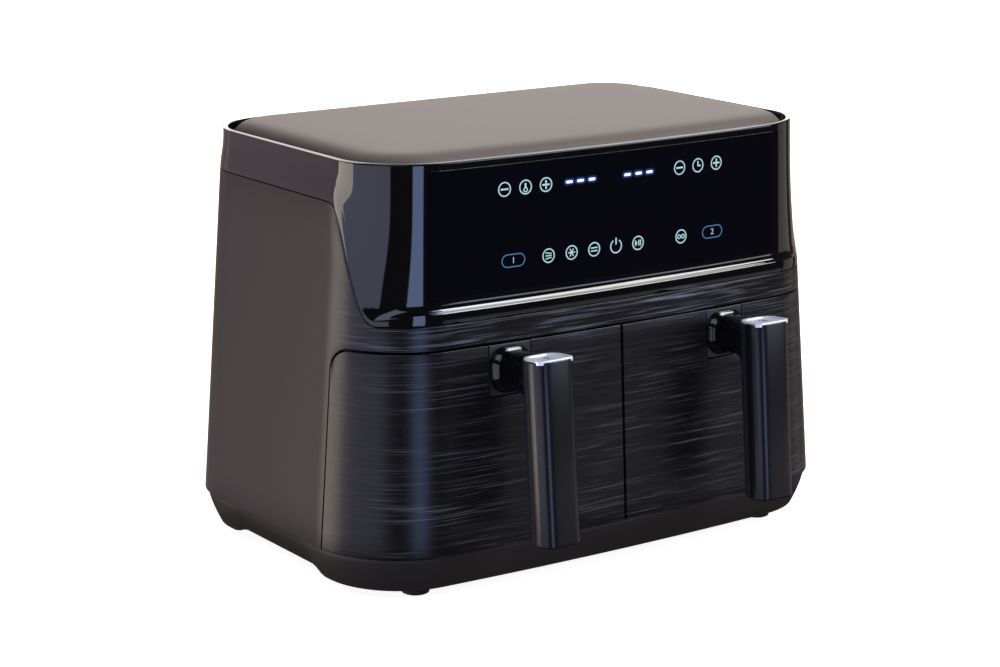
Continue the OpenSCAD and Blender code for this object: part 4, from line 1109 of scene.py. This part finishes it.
# Zinc plate has a faint patchy spangle a few millimetres wide.
bright_steel = textured("bright_zinc_steel", "#b8b8bc", 0.26, 3 * mm, 0.006 * mm,
                        ("#a9a9ae", "#c6c6c8"), Metallic=1.0)
for side in ("left", "right"):
    eased(f"{side}_fan_motor", "case", motor_lacquer, 0.6 * mm)
    eased(f"{side}_fan_shaft", "bar", bright_steel, 0.4 * mm)
    eased(f"{side}_hot_fan", "pressing", mill_aluminium, 0.2 * mm)
    eased(f"{side}_cooling_fan", "pressing", mill_aluminium, 0.2 * mm)

# ---- Motor deck ----
# One aluminium sheet on eight posts carries both motors, the power board and the upright
# sheet behind the control board.
for node, made_as in (("motor_deck", "sheet"), ("deck_posts", "bars"), ("board_bracket", "sheet")):
    eased(node, made_as, mill_aluminium, 0.25 * mm)

# ---- Circuit boards ----
# Glass-epoxy boards under green solder mask: one behind the touch panel with a spring
# under each key, and one in the middle for the mains side.
solder_mask, mask_tree, mask_shader = new_finish("green_solder_mask", "#17502c", 0.32, IOR=1.55)
# Copper tracks under the mask show as a paler pattern on a grid of 2.5 mm.
place = add_node(mask_tree, "ShaderNodeTexCoord")
grid = add_node(mask_tree, "ShaderNodeTexVoronoi", {
    "Vector": place.outputs["Object"], "Scale": 400.0, "Randomness": 0.15}, distance="CHEBYCHEV")
track = add_node(mask_tree, "ShaderNodeMapRange", {
    "Value": grid.outputs["Distance"], "From Min": 0.3, "From Max": 0.45})
toned(mask_tree, mask_shader, track.outputs[0], "#17502c", "#2b6f40")
for node in ("control_board", "power_board"):
    eased(node, "laminate", solder_mask, 0.2 * mm)
eased("touch_springs", "coils", bright_steel, 0.3 * mm)

# ---- Cut-outs, probes and screws ----
# Steatite thermal cut-outs clip onto the reflectors, a steel probe hangs into each cavity,
# and zinc-plated screws hold the feet and the handles.
steatite = textured("unglazed_steatite", "#d8d4c8", 0.8, 0.6 * mm, 0.02 * mm,
                    ("#cdc8ba", "#e0dcd2"), IOR=1.6)
eased("thermal_cutouts", "discs", steatite, 0.4 * mm)
for node, made_as in (("temperature_probes", "tubes"), ("housing_screws", "set"),
                      ("left_handle_screws", "set"), ("right_handle_screws", "set")):
    eased(node, made_as, bright_steel, 0.25 * mm)

# ---- Drawer switches ----
# A microswitch beside each cavity feels the drawer through a small red acetal plunger,
# and stops its heater when the drawer leaves.
red_acetal = textured("red_acetal", "#b82f27", 0.3, 0.6 * mm, 0.003 * mm, IOR=1.48)
for side in ("left", "right"):
    eased(f"{side}_drawer_switch", "case", moulded_abs, 0.25 * mm)
    eased(f"{side}_switch_plunger", "pin", red_acetal, 0.2 * mm)

# ---- Drawer runners ----
# Two strips of PTFE on the floor of each liner let the pan slide without a scrape.
skived_ptfe = textured("skived_ptfe", "#e4e2dc", 0.35, 0.5 * mm, 0.01 * mm,
                       ("#dad8d2", "#ecebe6"), stretch=(1, 30, 1), IOR=1.38)
eased("drawer_runners", "strips", skived_ptfe, 0.4 * mm)
